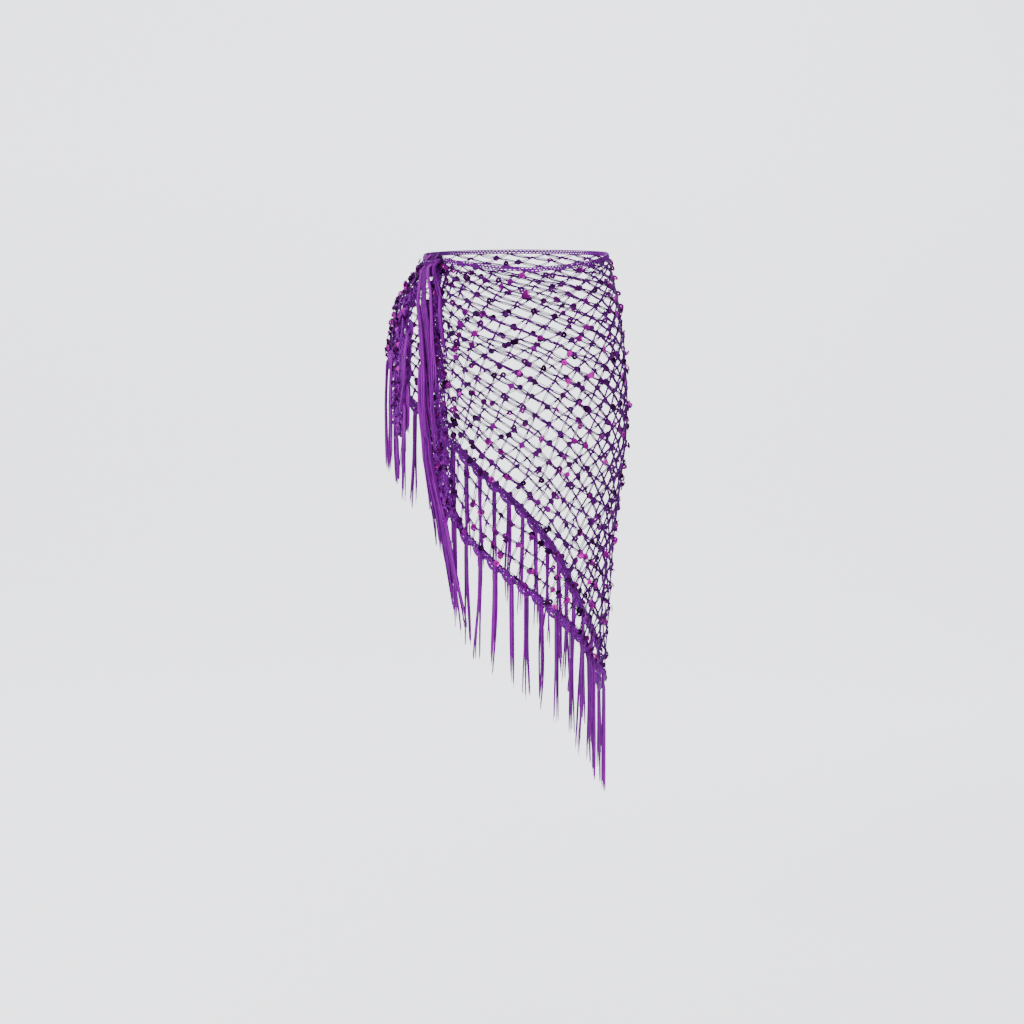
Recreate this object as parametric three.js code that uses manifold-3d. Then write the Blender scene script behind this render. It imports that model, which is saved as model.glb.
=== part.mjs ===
// Crochet triangle shawl with tassels, tied round the hips.
// Millimetres, +Z up. The front of the wearer looks along -Y, the knot lies at -X and the
// triangle's point hangs at +X. The origin is the middle of the waist, level with the band.
import * as THREE from 'three';
import { mergeVertices } from 'three/addons/utils/BufferGeometryUtils.js';
import Module from 'manifold-3d';

const wasm = await Module();
wasm.setup();

// ---- driving dimensions ----
const SEAM = 0.3;               // clearance between two pieces
const NET_THICKNESS = 2;        // crocheted net
const BAND_HEIGHT = 6;
const BAND_THICKNESS = 3;
const BAND_TUCK = 3.5;          // degrees; half of the band's reach into the knot
const EDGING_WIDTH = 9;         // crocheted hem strip that carries the tassels
const EDGING_THICKNESS = 2.4;
const LOCK_RADIUS = 1.5;        // one lock of tassel threads
const LOCK_ROOT = 3.5;          // how far a lock reaches into its strip
const LOCK_STOPS = [0, 0.14, 0.5, 1];
const LOCK_STEPS = 3;
const LOCK_SPREAD = 3.5;        // between the locks of one hem tassel
const LOCK_FLARE = 1.2;         // added on the way down
const LOCK_LAYER = 3.3;         // between locks that hang over each other
const LENGTH_VARIETY = 0.02;
const PLEAT_DEPTH = 5;
const PLEAT_FIT = 0.0105;       // depth for each square of the width, where the tail is narrow
const PLEAT_THICKNESS = 1.6;
const TAIL_CLEARANCE = 1;       // above the level where the hem's edging starts
const TAIL_SWELL_REACH = 60;    // below the waist the tail is as round as it gets
const GATHER_START = 14;        // below the waist the gathers are at their deepest
const HALF_SEAM_ANGLE = 0.07;   // degrees from the line above the point to each net
const HIP_LEVEL = -200;         // widest level; locks hang plumb below it
const SQUARENESS = 2.2;         // exponent of the body sections
const POINT_ANGLE = 186;        // where the triangle's point hangs, degrees
const POINT_LEVEL = -622;
const SIDE_TOP = 4;             // band level above the point
const NET_ROWS = 44;            // half rows of crochet from band to point
const LAST_ROW = 43.1;          // where the walls end, just above the point
const ROW_GROWTH = 1.15;        // rows get taller towards the point

// Level sections of a general figure's waist, hips and thighs. Angles run from 0 at the knot
// side (-X) over 90 at the front (-Y) and 180 at +X to 270 at the back.
const SECTIONS = [
  { z: 20, centre: 1, half: 127, front: 97, back: 90 },
  { z: 0, centre: 0, half: 133, front: 100, back: 93 },
  { z: -55, centre: -11, half: 157, front: 112, back: 110 },
  { z: -115, centre: -13, half: 168, front: 118, back: 126 },
  { z: -200, centre: -13, half: 173, front: 120, back: 132 },
  { z: -255, centre: -11, half: 170, front: 120, back: 130 },
  { z: -320, centre: -9, half: 160, front: 119, back: 124 },
  { z: -400, centre: -4, half: 144, front: 117, back: 114 },
  { z: -480, centre: 3, half: 130, front: 113, back: 104 },
  { z: -560, centre: 7, half: 120, front: 109, back: 97 },
  { z: -640, centre: 8, half: 116, front: 106, back: 92 },
  { z: -800, centre: 8, half: 116, front: 106, back: 92 },
];

// Soft folds: the net swells outwards (or in, where depth is negative) along each line.
const FOLDS = [
  { angle: 84, spread: 6, depth: 3, top: -300, reach: 120 },
  { angle: 104, spread: 8, depth: -3, top: -300, reach: 150 },
  { angle: 128, spread: 9, depth: 5, top: -330, reach: 160 },
  { angle: 150, spread: 8, depth: -5, top: -320, reach: 180 },
  { angle: 169, spread: 7, depth: 6, top: -300, reach: 200 },
  { angle: 188, spread: 7, depth: -4, top: -340, reach: 200 },
  { angle: 206, spread: 8, depth: 7, top: -300, reach: 200 },
  { angle: 228, spread: 8, depth: -4, top: -300, reach: 150 },
  { angle: 250, spread: 9, depth: 5, top: -260, reach: 150 },
  { angle: 282, spread: 9, depth: 3, top: -200, reach: 120 },
];

// Short gathers that run out from the knot.
const GATHERS = [
  { angle: 49, spread: 1.8, depth: 2.2, reach: 90 },
  { angle: 56, spread: 2.2, depth: 1.8, reach: 130 },
  { angle: 64, spread: 3, depth: 1.4, reach: 150 },
  { angle: 22, spread: 2, depth: 2.2, reach: 90 },
  { angle: 14, spread: 2.6, depth: 1.8, reach: 110 },
  { angle: 5, spread: 3, depth: 1.4, reach: 120 },
];

// Where each net ends on the knot side: row of crochet, angle and level. The first stretch
// runs down from the knot, the rest is the hem.
const FRONT_EDGE = [
  { row: 0, angle: 44, z: -7 },
  { row: 3, angle: 53, z: -45 },
  { row: 8, angle: 61, z: -130 },
  { row: 14, angle: 63.5, z: -240 },
  { row: 19, angle: 62, z: -344 },
  { row: 21, angle: 66.5, z: -376 },
  { row: 24, angle: 80, z: -412 },
  { row: 28, angle: 97, z: -456 },
  { row: 33, angle: 119, z: -499 },
  { row: 38, angle: 148, z: -558 },
  { row: 44, angle: 186, z: -622 },
];
const BACK_EDGE = [
  { row: 0, angle: 388, z: -5 },
  { row: 7, angle: 385, z: -55 },
  { row: 14, angle: 384, z: -118 },
  { row: 17, angle: 362, z: -131 },
  { row: 20, angle: 341, z: -163 },
  { row: 25, angle: 309, z: -238 },
  { row: 30, angle: 281, z: -322 },
  { row: 35, angle: 250, z: -420 },
  { row: 40, angle: 214, z: -536 },
  { row: 44, angle: 186, z: -622 },
];

// The waist band's dip at the front.
const BAND_LEVELS = [
  { angle: 28, z: 1 },
  { angle: 44, z: -1 },
  { angle: 64, z: -4 },
  { angle: 83, z: -9 },
  { angle: 98, z: -11 },
  { angle: 115, z: -8 },
  { angle: 139, z: -3 },
  { angle: 170, z: 4 },
  { angle: 186, z: 5 },
  { angle: 270, z: 6 },
  { angle: 345, z: 4 },
  { angle: 388, z: 1 },
];

// The two halves of the triangle. turn is -1 for the half that ends before the point's angle.
const FRONT = {
  name: 'front',
  turn: -1,
  edge: FRONT_EDGE,
  corner: 19,                   // row where the hem starts
  linesAbove: 9,                // lines of wall corners above the hem's start, and below it
  linesBelow: 13,
  columns: 20,
  hemFringe: {
    tassels: 14,
    locks: 3,
    follows: 0,
    lengthAt: (share) => mix(158, 184, smooth(share * 2 - 0.8)),
    laneAt: (t, k, locks) => ({ out: 1.5, along: (k - (locks - 1) / 2) * LOCK_SPREAD }),
  },
  tail: {
    columns: 12,
    pleats: 2,
    swell: 3,
    widths: [
      { z: -5, width: 9 },
      { z: -50, width: 16 },
      { z: -140, width: 25 },
      { z: -270, width: 24 },
      { z: -352, width: 14 },
    ],
    below: [],
    fringeFrom: 2,              // line where the end's edging starts
    fringe: {
      tassels: 10,
      locks: 2,
      follows: 0.12,
      lengthAt: () => 178,
      laneAt: (t, k) => ({ out: 5 + LOCK_LAYER * k, along: 8 - LOCK_LAYER * (t % 7) }),
    },
  },
};
const BACK = {
  name: 'back',
  turn: 1,
  edge: BACK_EDGE,
  corner: 14,
  linesAbove: 7,
  linesBelow: 19,
  columns: 26,
  hemFringe: {
    tassels: 24,
    locks: 2,
    follows: 0,
    lengthAt: (share) => mix(160, 184, smooth(share * 2 - 1)),
    laneAt: (t, k, locks) => ({ out: 1.5, along: (k - (locks - 1) / 2) * LOCK_SPREAD }),
  },
  tail: {
    columns: 12,
    pleats: 2,
    swell: 2,
    widths: [
      { z: -5, width: 8 },
      { z: -55, width: 17 },
      { z: -120, width: 21 },
      { z: -180, width: 19 },
      { z: -232, width: 12 },
    ],
    below: [-128, -155, -182, -208, -232].map((z) => ({ angle: 385.6, z })),
    fringeFrom: 5,
    fringe: {
      tassels: 5,
      locks: 2,
      follows: 0,
      lengthAt: () => 76,
      laneAt: (t, k) => ({ out: 4 + LOCK_LAYER * k, along: LOCK_LAYER * (t % 4) }),
    },
  },
};

const KNOT = {
  angle: 36,
  z: -5,
  out: 4,
  half: 13,
  deep: 9,
  high: 18,
  turnRadius: 11.5,
  turnThickness: 4,
  turnFlatness: 1.5,
  turnTilt: 0.25,
  turnLean: 0.2,
};

const COLOURS = { net: 0x6c2a86, band: 0x5b1f78, knot: 0x742a94, tail: 0x642482, fringe: 0x8c2fae };

// ---- numbers ----
const mix = (a, b, t) => a + (b - a) * t;
const clamp01 = (t) => Math.min(1, Math.max(0, t));
const smooth = (t) => clamp01(t) ** 2 * (3 - 2 * clamp01(t));
const bump = (x, spread) => Math.exp(-((x / spread) ** 2));

function read(table, key, at, name) {
  const rising = table[0][key] < table[table.length - 1][key];
  const rows = rising ? table : [...table].reverse();
  let i = 1;
  while (i < rows.length - 1 && rows[i][key] < at) i += 1;
  const t = clamp01((at - rows[i - 1][key]) / (rows[i][key] - rows[i - 1][key]));
  return mix(rows[i - 1][name], rows[i][name], t);
}

function foldDepth(angle, z) {
  let depth = 0;
  for (const fold of FOLDS) {
    depth += fold.depth * bump(angle - fold.angle, fold.spread) * smooth((fold.top - z) / fold.reach);
  }
  const turned = angle > 200 ? angle - 360 : angle;
  for (const gather of GATHERS) {
    const fade = smooth(1 + z / gather.reach) * smooth(-z / GATHER_START);
    depth += gather.depth * bump(turned - gather.angle, gather.spread) * fade;
  }
  return depth;
}

// A point of the worn cloth's middle, before it is moved out.
function bodyPoint(angle, z) {
  const power = 2 / SQUARENESS;
  const c = Math.cos((angle * Math.PI) / 180);
  const s = Math.sin((angle * Math.PI) / 180);
  const depth = read(SECTIONS, 'z', z, s > 0 ? 'front' : 'back');
  return new THREE.Vector3(
    read(SECTIONS, 'z', z, 'centre') - read(SECTIONS, 'z', z, 'half') * Math.sign(c) * Math.abs(c) ** power,
    -depth * Math.sign(s) * Math.abs(s) ** power,
    z,
  );
}

// Unit directions on the cloth: out of it, and level round it towards larger angles.
function bodyFrame(angle, z) {
  const round = bodyPoint(angle + 2, z).sub(bodyPoint(angle - 2, z)).normalize();
  const down = bodyPoint(angle, z - 8).sub(bodyPoint(angle, z + 8)).normalize();
  return { out: new THREE.Vector3().crossVectors(down, round).normalize(), round };
}

function worn(angle, z, out = 0, along = 0) {
  const frame = bodyFrame(angle, z);
  const point = bodyPoint(angle, z);
  point.addScaledVector(frame.out, out + foldDepth(angle, z));
  return point.addScaledVector(frame.round, along);
}

// ---- closed solids ----
function fromManifold(solid) {
  const mesh = solid.getMesh();
  const geometry = new THREE.BufferGeometry();
  geometry.setAttribute('position', new THREE.BufferAttribute(new Float32Array(mesh.vertProperties), 3));
  geometry.setIndex(new THREE.BufferAttribute(new Uint32Array(mesh.triVerts), 1));
  return geometry;
}

function toManifold(geometry) {
  const bare = geometry.clone();
  bare.deleteAttribute('normal');
  bare.deleteAttribute('uv');
  const merged = mergeVertices(bare, 1e-4);
  return new wasm.Manifold(new wasm.Mesh({
    numProp: 3,
    vertProperties: new Float32Array(merged.attributes.position.array),
    triVerts: new Uint32Array(merged.index.array),
  }));
}

function largest(solid) {
  const bodies = solid.decompose();
  bodies.sort((a, b) => b.volume() - a.volume());
  return bodies[0];
}

// A wall between two grids of points that lie thickness apart.
function wall(grid, thickness) {
  const rows = grid.length;
  const columns = grid[0].length;
  const positions = [];
  for (const side of [1, -1]) {
    for (const row of grid) {
      for (const node of row) {
        const point = node.point.clone().addScaledVector(node.out, (side * thickness) / 2);
        positions.push(point.x, point.y, point.z);
      }
    }
  }
  const at = (side, r, c) => side * rows * columns + r * columns + c;
  const faces = [];
  const quad = (a, b, c, d) => faces.push(a, b, c, a, c, d);
  for (let r = 0; r < rows - 1; r += 1) {
    for (let c = 0; c < columns - 1; c += 1) {
      quad(at(0, r, c), at(0, r + 1, c), at(0, r + 1, c + 1), at(0, r, c + 1));
      quad(at(1, r, c), at(1, r, c + 1), at(1, r + 1, c + 1), at(1, r + 1, c));
    }
  }
  for (let r = 0; r < rows - 1; r += 1) {
    quad(at(0, r, 0), at(1, r, 0), at(1, r + 1, 0), at(0, r + 1, 0));
    quad(at(0, r, columns - 1), at(0, r + 1, columns - 1), at(1, r + 1, columns - 1), at(1, r, columns - 1));
  }
  for (let c = 0; c < columns - 1; c += 1) {
    quad(at(0, 0, c), at(0, 0, c + 1), at(1, 0, c + 1), at(1, 0, c));
    quad(at(0, rows - 1, c), at(1, rows - 1, c), at(1, rows - 1, c + 1), at(0, rows - 1, c + 1));
  }
  const geometry = new THREE.BufferGeometry();
  geometry.setAttribute('position', new THREE.BufferAttribute(new Float32Array(positions), 3));
  geometry.setIndex(faces);
  return faceOut(geometry);
}

function faceOut(geometry) {
  const p = geometry.attributes.position;
  const index = geometry.index.array;
  const [a, b, c] = [new THREE.Vector3(), new THREE.Vector3(), new THREE.Vector3()];
  let volume = 0;
  for (let i = 0; i < index.length; i += 3) {
    a.fromBufferAttribute(p, index[i]);
    b.fromBufferAttribute(p, index[i + 1]);
    c.fromBufferAttribute(p, index[i + 2]);
    volume += a.dot(b.cross(c));
  }
  if (volume < 0) {
    for (let i = 0; i < index.length; i += 3) [index[i], index[i + 1]] = [index[i + 1], index[i]];
  }
  return geometry;
}

// ---- the net ----
// Rows of crochet where the walls have a line of corners, with one exactly at the hem's start.
function rowStops({ corner, linesAbove, linesBelow }) {
  const stops = [];
  for (let i = 0; i < linesAbove; i += 1) stops.push((corner * i) / linesAbove);
  for (let i = 0; i <= linesBelow; i += 1) stops.push(mix(corner, LAST_ROW, i / linesBelow));
  return stops;
}

function netPlace(half, row, across) {
  const edgeAngle = read(half.edge, 'row', row, 'angle');
  const edgeLevel = read(half.edge, 'row', row, 'z');
  const side = POINT_ANGLE + half.turn * HALF_SEAM_ANGLE;
  const sideLevel = mix(SIDE_TOP, POINT_LEVEL, (row / NET_ROWS) ** ROW_GROWTH);
  const angle = mix(edgeAngle, side, across);
  const topLift = read(BAND_LEVELS, 'angle', angle, 'z') - mix(half.edge[0].z, SIDE_TOP, across);
  const z = mix(edgeLevel, sideLevel, across) + topLift * (1 - row / NET_ROWS) ** 3;
  return { angle, z, point: worn(angle, z), out: bodyFrame(angle, z).out };
}

function netGrid(half, columns) {
  return rowStops(half).map((row) => {
    const line = [];
    for (let c = 0; c <= columns; c += 1) line.push(netPlace(half, row, c / columns));
    return line;
  });
}

// ---- strips beside an edge ----
// Two lines of points beside a path, on the side that outwards points to.
function stripGrid(stations, near, width, outwards) {
  const last = stations.length - 1;
  return stations.map((station, i) => {
    const along = stations[Math.min(i + 1, last)].point.clone().sub(stations[Math.max(i - 1, 0)].point);
    const side = new THREE.Vector3().crossVectors(along, station.out).normalize();
    if (side.dot(outwards(station)) < 0) side.negate();
    return [near, near + width].map((reach) => ({
      point: station.point.clone().addScaledVector(side, reach),
      out: station.out,
    }));
  });
}

const upwards = () => new THREE.Vector3(0, 0, 1);
const downwards = () => new THREE.Vector3(0, 0, -1);

// Runs over the tops of both nets and a little way into the knot at each end.
function waistBand() {
  const start = FRONT.edge[0].angle;
  const end = BACK.edge[0].angle;
  const angles = [start - 2 * BAND_TUCK, start - BAND_TUCK];
  for (let c = 0; c < FRONT.columns; c += 1) angles.push(mix(start, POINT_ANGLE, c / FRONT.columns));
  for (let c = 0; c <= BACK.columns; c += 1) angles.push(mix(POINT_ANGLE, end, c / BACK.columns));
  angles.push(end + BAND_TUCK, end + 2 * BAND_TUCK);
  const stations = angles.map((angle) => {
    const z = read(BAND_LEVELS, 'angle', Math.max(angle, BAND_LEVELS[0].angle), 'z');
    return { angle, z, point: worn(angle, z), out: bodyFrame(angle, z).out };
  });
  return wall(stripGrid(stations, SEAM, BAND_HEIGHT, upwards), BAND_THICKNESS);
}

// ---- the gathered ends ----
// A pleated wall that starts beside the net's edge and stands away from it. Below the net's
// corner it hangs on by itself.
function tailGrid(half, tail) {
  const rows = rowStops(half).filter((row) => row <= half.corner);
  const lines = rows.map((row) => ({
    angle: read(half.edge, 'row', row, 'angle'),
    z: read(half.edge, 'row', row, 'z'),
  }));
  lines[lines.length - 1].z += TAIL_CLEARANCE;
  lines.push(...tail.below);
  return lines.map((line) => {
    const frame = bodyFrame(line.angle, line.z);
    const width = read(tail.widths, 'z', line.z, 'width');
    const depth = Math.min(PLEAT_DEPTH, PLEAT_FIT * width ** 2);
    const nodes = [];
    for (let c = 0; c <= tail.columns; c += 1) {
      const share = c / tail.columns;
      const pleat = (depth * (1 - Math.cos(share * tail.pleats * 2 * Math.PI))) / 2;
      const swell = tail.swell * Math.sin(share * Math.PI) * smooth(-line.z / TAIL_SWELL_REACH);
      const along = half.turn * (SEAM + width * share);
      nodes.push({
        point: worn(line.angle, line.z, pleat + swell, along),
        out: frame.out,
        angle: line.angle,
        z: line.z,
      });
    }
    return nodes;
  });
}

// Turns each point's out direction square to the wall, so pleats keep their thickness.
function squareUp(grid) {
  const [rows, columns] = [grid.length - 1, grid[0].length - 1];
  return grid.map((line, r) => line.map((node, c) => {
    const down = grid[Math.min(r + 1, rows)][c].point.clone().sub(grid[Math.max(r - 1, 0)][c].point);
    const over = line[Math.min(c + 1, columns)].point.clone().sub(line[Math.max(c - 1, 0)].point);
    const square = new THREE.Vector3().crossVectors(down, over).normalize();
    if (square.dot(node.out) < 0) square.negate();
    const seam = c === 0 || c === columns;
    return { ...node, out: seam ? node.out : square };
  }));
}

// ---- locks of thread ----
function lockSolid(points) {
  const shape = new THREE.Shape();
  for (let i = 0; i < 3; i += 1) {
    const turn = (i * 2 * Math.PI) / 3;
    const corner = [LOCK_RADIUS * Math.cos(turn), LOCK_RADIUS * Math.sin(turn)];
    if (i === 0) shape.moveTo(...corner);
    else shape.lineTo(...corner);
  }
  const extrudePath = new THREE.CatmullRomCurve3(points);
  const settings = { steps: LOCK_STEPS, bevelEnabled: false, extrudePath };
  return toManifold(new THREE.ExtrudeGeometry(shape, settings));
}

// Leaves the strip at root, stands out by lane.out and lane.along, and hangs. It is plumb below
// the hips, or follows the thigh by the share that lane.follows gives.
function hangingLock(root, length, lane) {
  const frame = bodyFrame(root.angle, root.z);
  const start = worn(root.angle, root.z);
  const points = LOCK_STOPS.map((stop) => {
    const z = root.z - length * stop;
    const level = mix(Math.max(z, Math.min(root.z, HIP_LEVEL)), z, lane.follows);
    const settle = smooth(stop / LOCK_STOPS[1]);
    const shift = worn(root.angle, level).sub(start);
    const point = root.point.clone().add(shift);
    point.addScaledVector(frame.out, lane.out * settle);
    point.addScaledVector(frame.round, lane.along * settle + lane.flare * stop);
    point.z = z;
    return point;
  });
  return lockSolid(points);
}

function fringe(stations, options) {
  const { tassels, locks, outwards, lengthAt, laneAt, follows } = options;
  const strip = stripGrid(stations, SEAM, EDGING_WIDTH, outwards);
  const roots = stripGrid(stations, SEAM + EDGING_WIDTH - LOCK_ROOT, 0, outwards);
  let solid = toManifold(wall(strip, EDGING_THICKNESS));
  for (let t = 0; t < tassels; t += 1) {
    const share = (t + 0.5) / tassels;
    const place = share * (stations.length - 1);
    const i = Math.floor(place);
    const base = roots[i][0].point.clone().lerp(roots[i + 1][0].point, place - i);
    const angle = mix(stations[i].angle, stations[i + 1].angle, place - i);
    for (let k = 0; k < locks; k += 1) {
      const length = lengthAt(share) * (1 - LENGTH_VARIETY * ((t * 3 + k * 2) % 4));
      const lane = { ...laneAt(t, k, locks), follows, flare: LOCK_FLARE * (k - (locks - 1) / 2) };
      solid = solid.add(hangingLock({ point: base, angle, z: base.z }, length, lane));
    }
  }
  return solid;
}

// ---- the knot ----
// A rounded heart with one turn of the end round it.
function knotSolid(extra) {
  const centre = worn(KNOT.angle, KNOT.z, KNOT.out);
  const frame = bodyFrame(KNOT.angle, KNOT.z);
  const up = new THREE.Vector3().crossVectors(frame.out, frame.round);
  if (up.z < 0) up.negate();
  const inwards = new THREE.Vector3().crossVectors(up, frame.round);
  const turned = new THREE.Matrix4().makeBasis(frame.round, inwards, up);
  const heart = new THREE.SphereGeometry(1, 18, 12);
  heart.scale(KNOT.half + extra, KNOT.deep + extra, KNOT.high + extra);
  const turn = new THREE.TorusGeometry(KNOT.turnRadius, KNOT.turnThickness + extra, 6, 18);
  turn.scale(1, 1, KNOT.turnFlatness);
  turn.rotateY(KNOT.turnTilt);
  turn.rotateX(Math.PI / 2 + KNOT.turnLean);
  const parts = [heart, turn].map((geometry) => {
    geometry.applyMatrix4(turned);
    geometry.translate(centre.x, centre.y, centre.z);
    return toManifold(geometry);
  });
  return parts[0].add(parts[1]);
}

// ---- assembly ----
const group = new THREE.Group();
function add(name, solid, colour) {
  const material = new THREE.MeshStandardMaterial({ color: colour, roughness: 0.8, metalness: 0 });
  const mesh = new THREE.Mesh(fromManifold(largest(solid)), material);
  mesh.name = name;
  group.add(mesh);
}

const knotRoom = knotSolid(SEAM);
const clearOfKnot = (geometry) => toManifold(geometry).subtract(knotRoom);

add('knot', knotSolid(0), COLOURS.knot);
add('waist_band', clearOfKnot(waistBand()), COLOURS.band);

for (const half of [FRONT, BACK]) {
  const grid = netGrid(half, half.columns);
  add(`net_${half.name}`, clearOfKnot(wall(grid, NET_THICKNESS)), COLOURS.net);
  const hem = grid.map((line) => line[0]).slice(half.linesAbove);
  add(`fringe_${half.name}`, fringe(hem, { ...half.hemFringe, outwards: downwards }), COLOURS.fringe);

  const tail = squareUp(tailGrid(half, half.tail));
  add(`tail_${half.name}`, clearOfKnot(wall(tail, PLEAT_THICKNESS)), COLOURS.tail);
  const edge = tail.map((line) => line[line.length - 1]).slice(half.tail.fringeFrom);
  const away = (station) => bodyFrame(station.angle, station.z).round.multiplyScalar(half.turn);
  const locks = fringe(edge, { ...half.tail.fringe, outwards: away });
  add(`fringe_tail_${half.name}`, locks.subtract(knotRoom), COLOURS.fringe);
}

export default group;
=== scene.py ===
"""Crochet triangle shawl with tassels, worn tied round the hips.

The worn form and its nets come from the figure's level sections, and every thread, knot, sequin
and tassel is a closed mesh on that form. Sizes are millimetres, and meshes are made in metres.
"""

import logging
import math
from collections.abc import Sequence
from dataclasses import dataclass
from enum import Enum

import bpy
import numpy as np
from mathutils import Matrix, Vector


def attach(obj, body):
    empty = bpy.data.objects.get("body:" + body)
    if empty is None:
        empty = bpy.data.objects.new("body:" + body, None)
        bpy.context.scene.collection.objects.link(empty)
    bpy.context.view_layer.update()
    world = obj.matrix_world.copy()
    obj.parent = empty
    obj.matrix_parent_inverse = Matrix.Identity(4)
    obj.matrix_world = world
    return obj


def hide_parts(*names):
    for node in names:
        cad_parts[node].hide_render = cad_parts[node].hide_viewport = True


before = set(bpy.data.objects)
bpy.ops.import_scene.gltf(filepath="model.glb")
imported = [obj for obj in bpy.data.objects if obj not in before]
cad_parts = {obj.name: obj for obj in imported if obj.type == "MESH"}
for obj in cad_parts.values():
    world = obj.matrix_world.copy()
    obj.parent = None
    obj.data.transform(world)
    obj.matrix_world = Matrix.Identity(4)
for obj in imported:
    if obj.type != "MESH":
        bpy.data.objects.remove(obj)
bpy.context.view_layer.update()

log = logging.getLogger("shawl")

Array = np.ndarray
Colour = tuple[float, float, float]
Row = tuple[float, ...]

MM = 0.001
BODY = "root"
SEAM = 0.3  # gap between neighbouring pieces
UV_NAME = "Thread"
UP = np.array([0.0, 0.0, 1.0])
FULL_TURN = 360.0
ROUNDING = 1e-6
TINY_LENGTH = 1e-9


def smooth(share: Array) -> Array:
    """Eases a share from 0 to 1."""
    held = np.clip(share, 0.0, 1.0)
    return held * held * (3.0 - 2.0 * held)


def mix(a: Array, b: Array, share: Array) -> Array:
    """Blends from a to b."""
    return a + (b - a) * share


def unit(vectors: Array) -> Array:
    """Scales vectors to length one."""
    length = np.linalg.norm(vectors, axis=-1, keepdims=True)
    return vectors / np.maximum(length, TINY_LENGTH)


def read(rows: Sequence[Row], at: Array, column: int) -> Array:
    """Reads a table between its rows.

    Args:
        rows: The table, sorted by its first column either way.
        at: Where to read, in the first column's unit.
        column: The column to read.

    Returns:
        The value of that column at each place.
    """
    table = np.array(sorted(rows))
    return np.interp(at, table[:, 0], table[:, column])


def add_object(name: str, data: bpy.types.ID) -> bpy.types.Object:
    """Makes an object and links it to the scene.

    Args:
        name: The object's name.
        data: Its mesh, lamp or camera.

    Returns:
        The new object.
    """
    piece = bpy.data.objects.new(name, data)
    bpy.context.scene.collection.objects.link(piece)
    return piece


@dataclass(frozen=True)
class Fold:
    """A soft fold down the net, which takes its reach below its top to grow full.

    Angles are degrees round the figure, from the knot side over the front.
    """

    angle: float
    spread: float
    depth: float
    top: float
    reach: float


@dataclass(frozen=True)
class Gather:
    """A short gather that runs out from the knot and fades at its reach below the band."""

    angle: float
    spread: float
    depth: float
    reach: float


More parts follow.
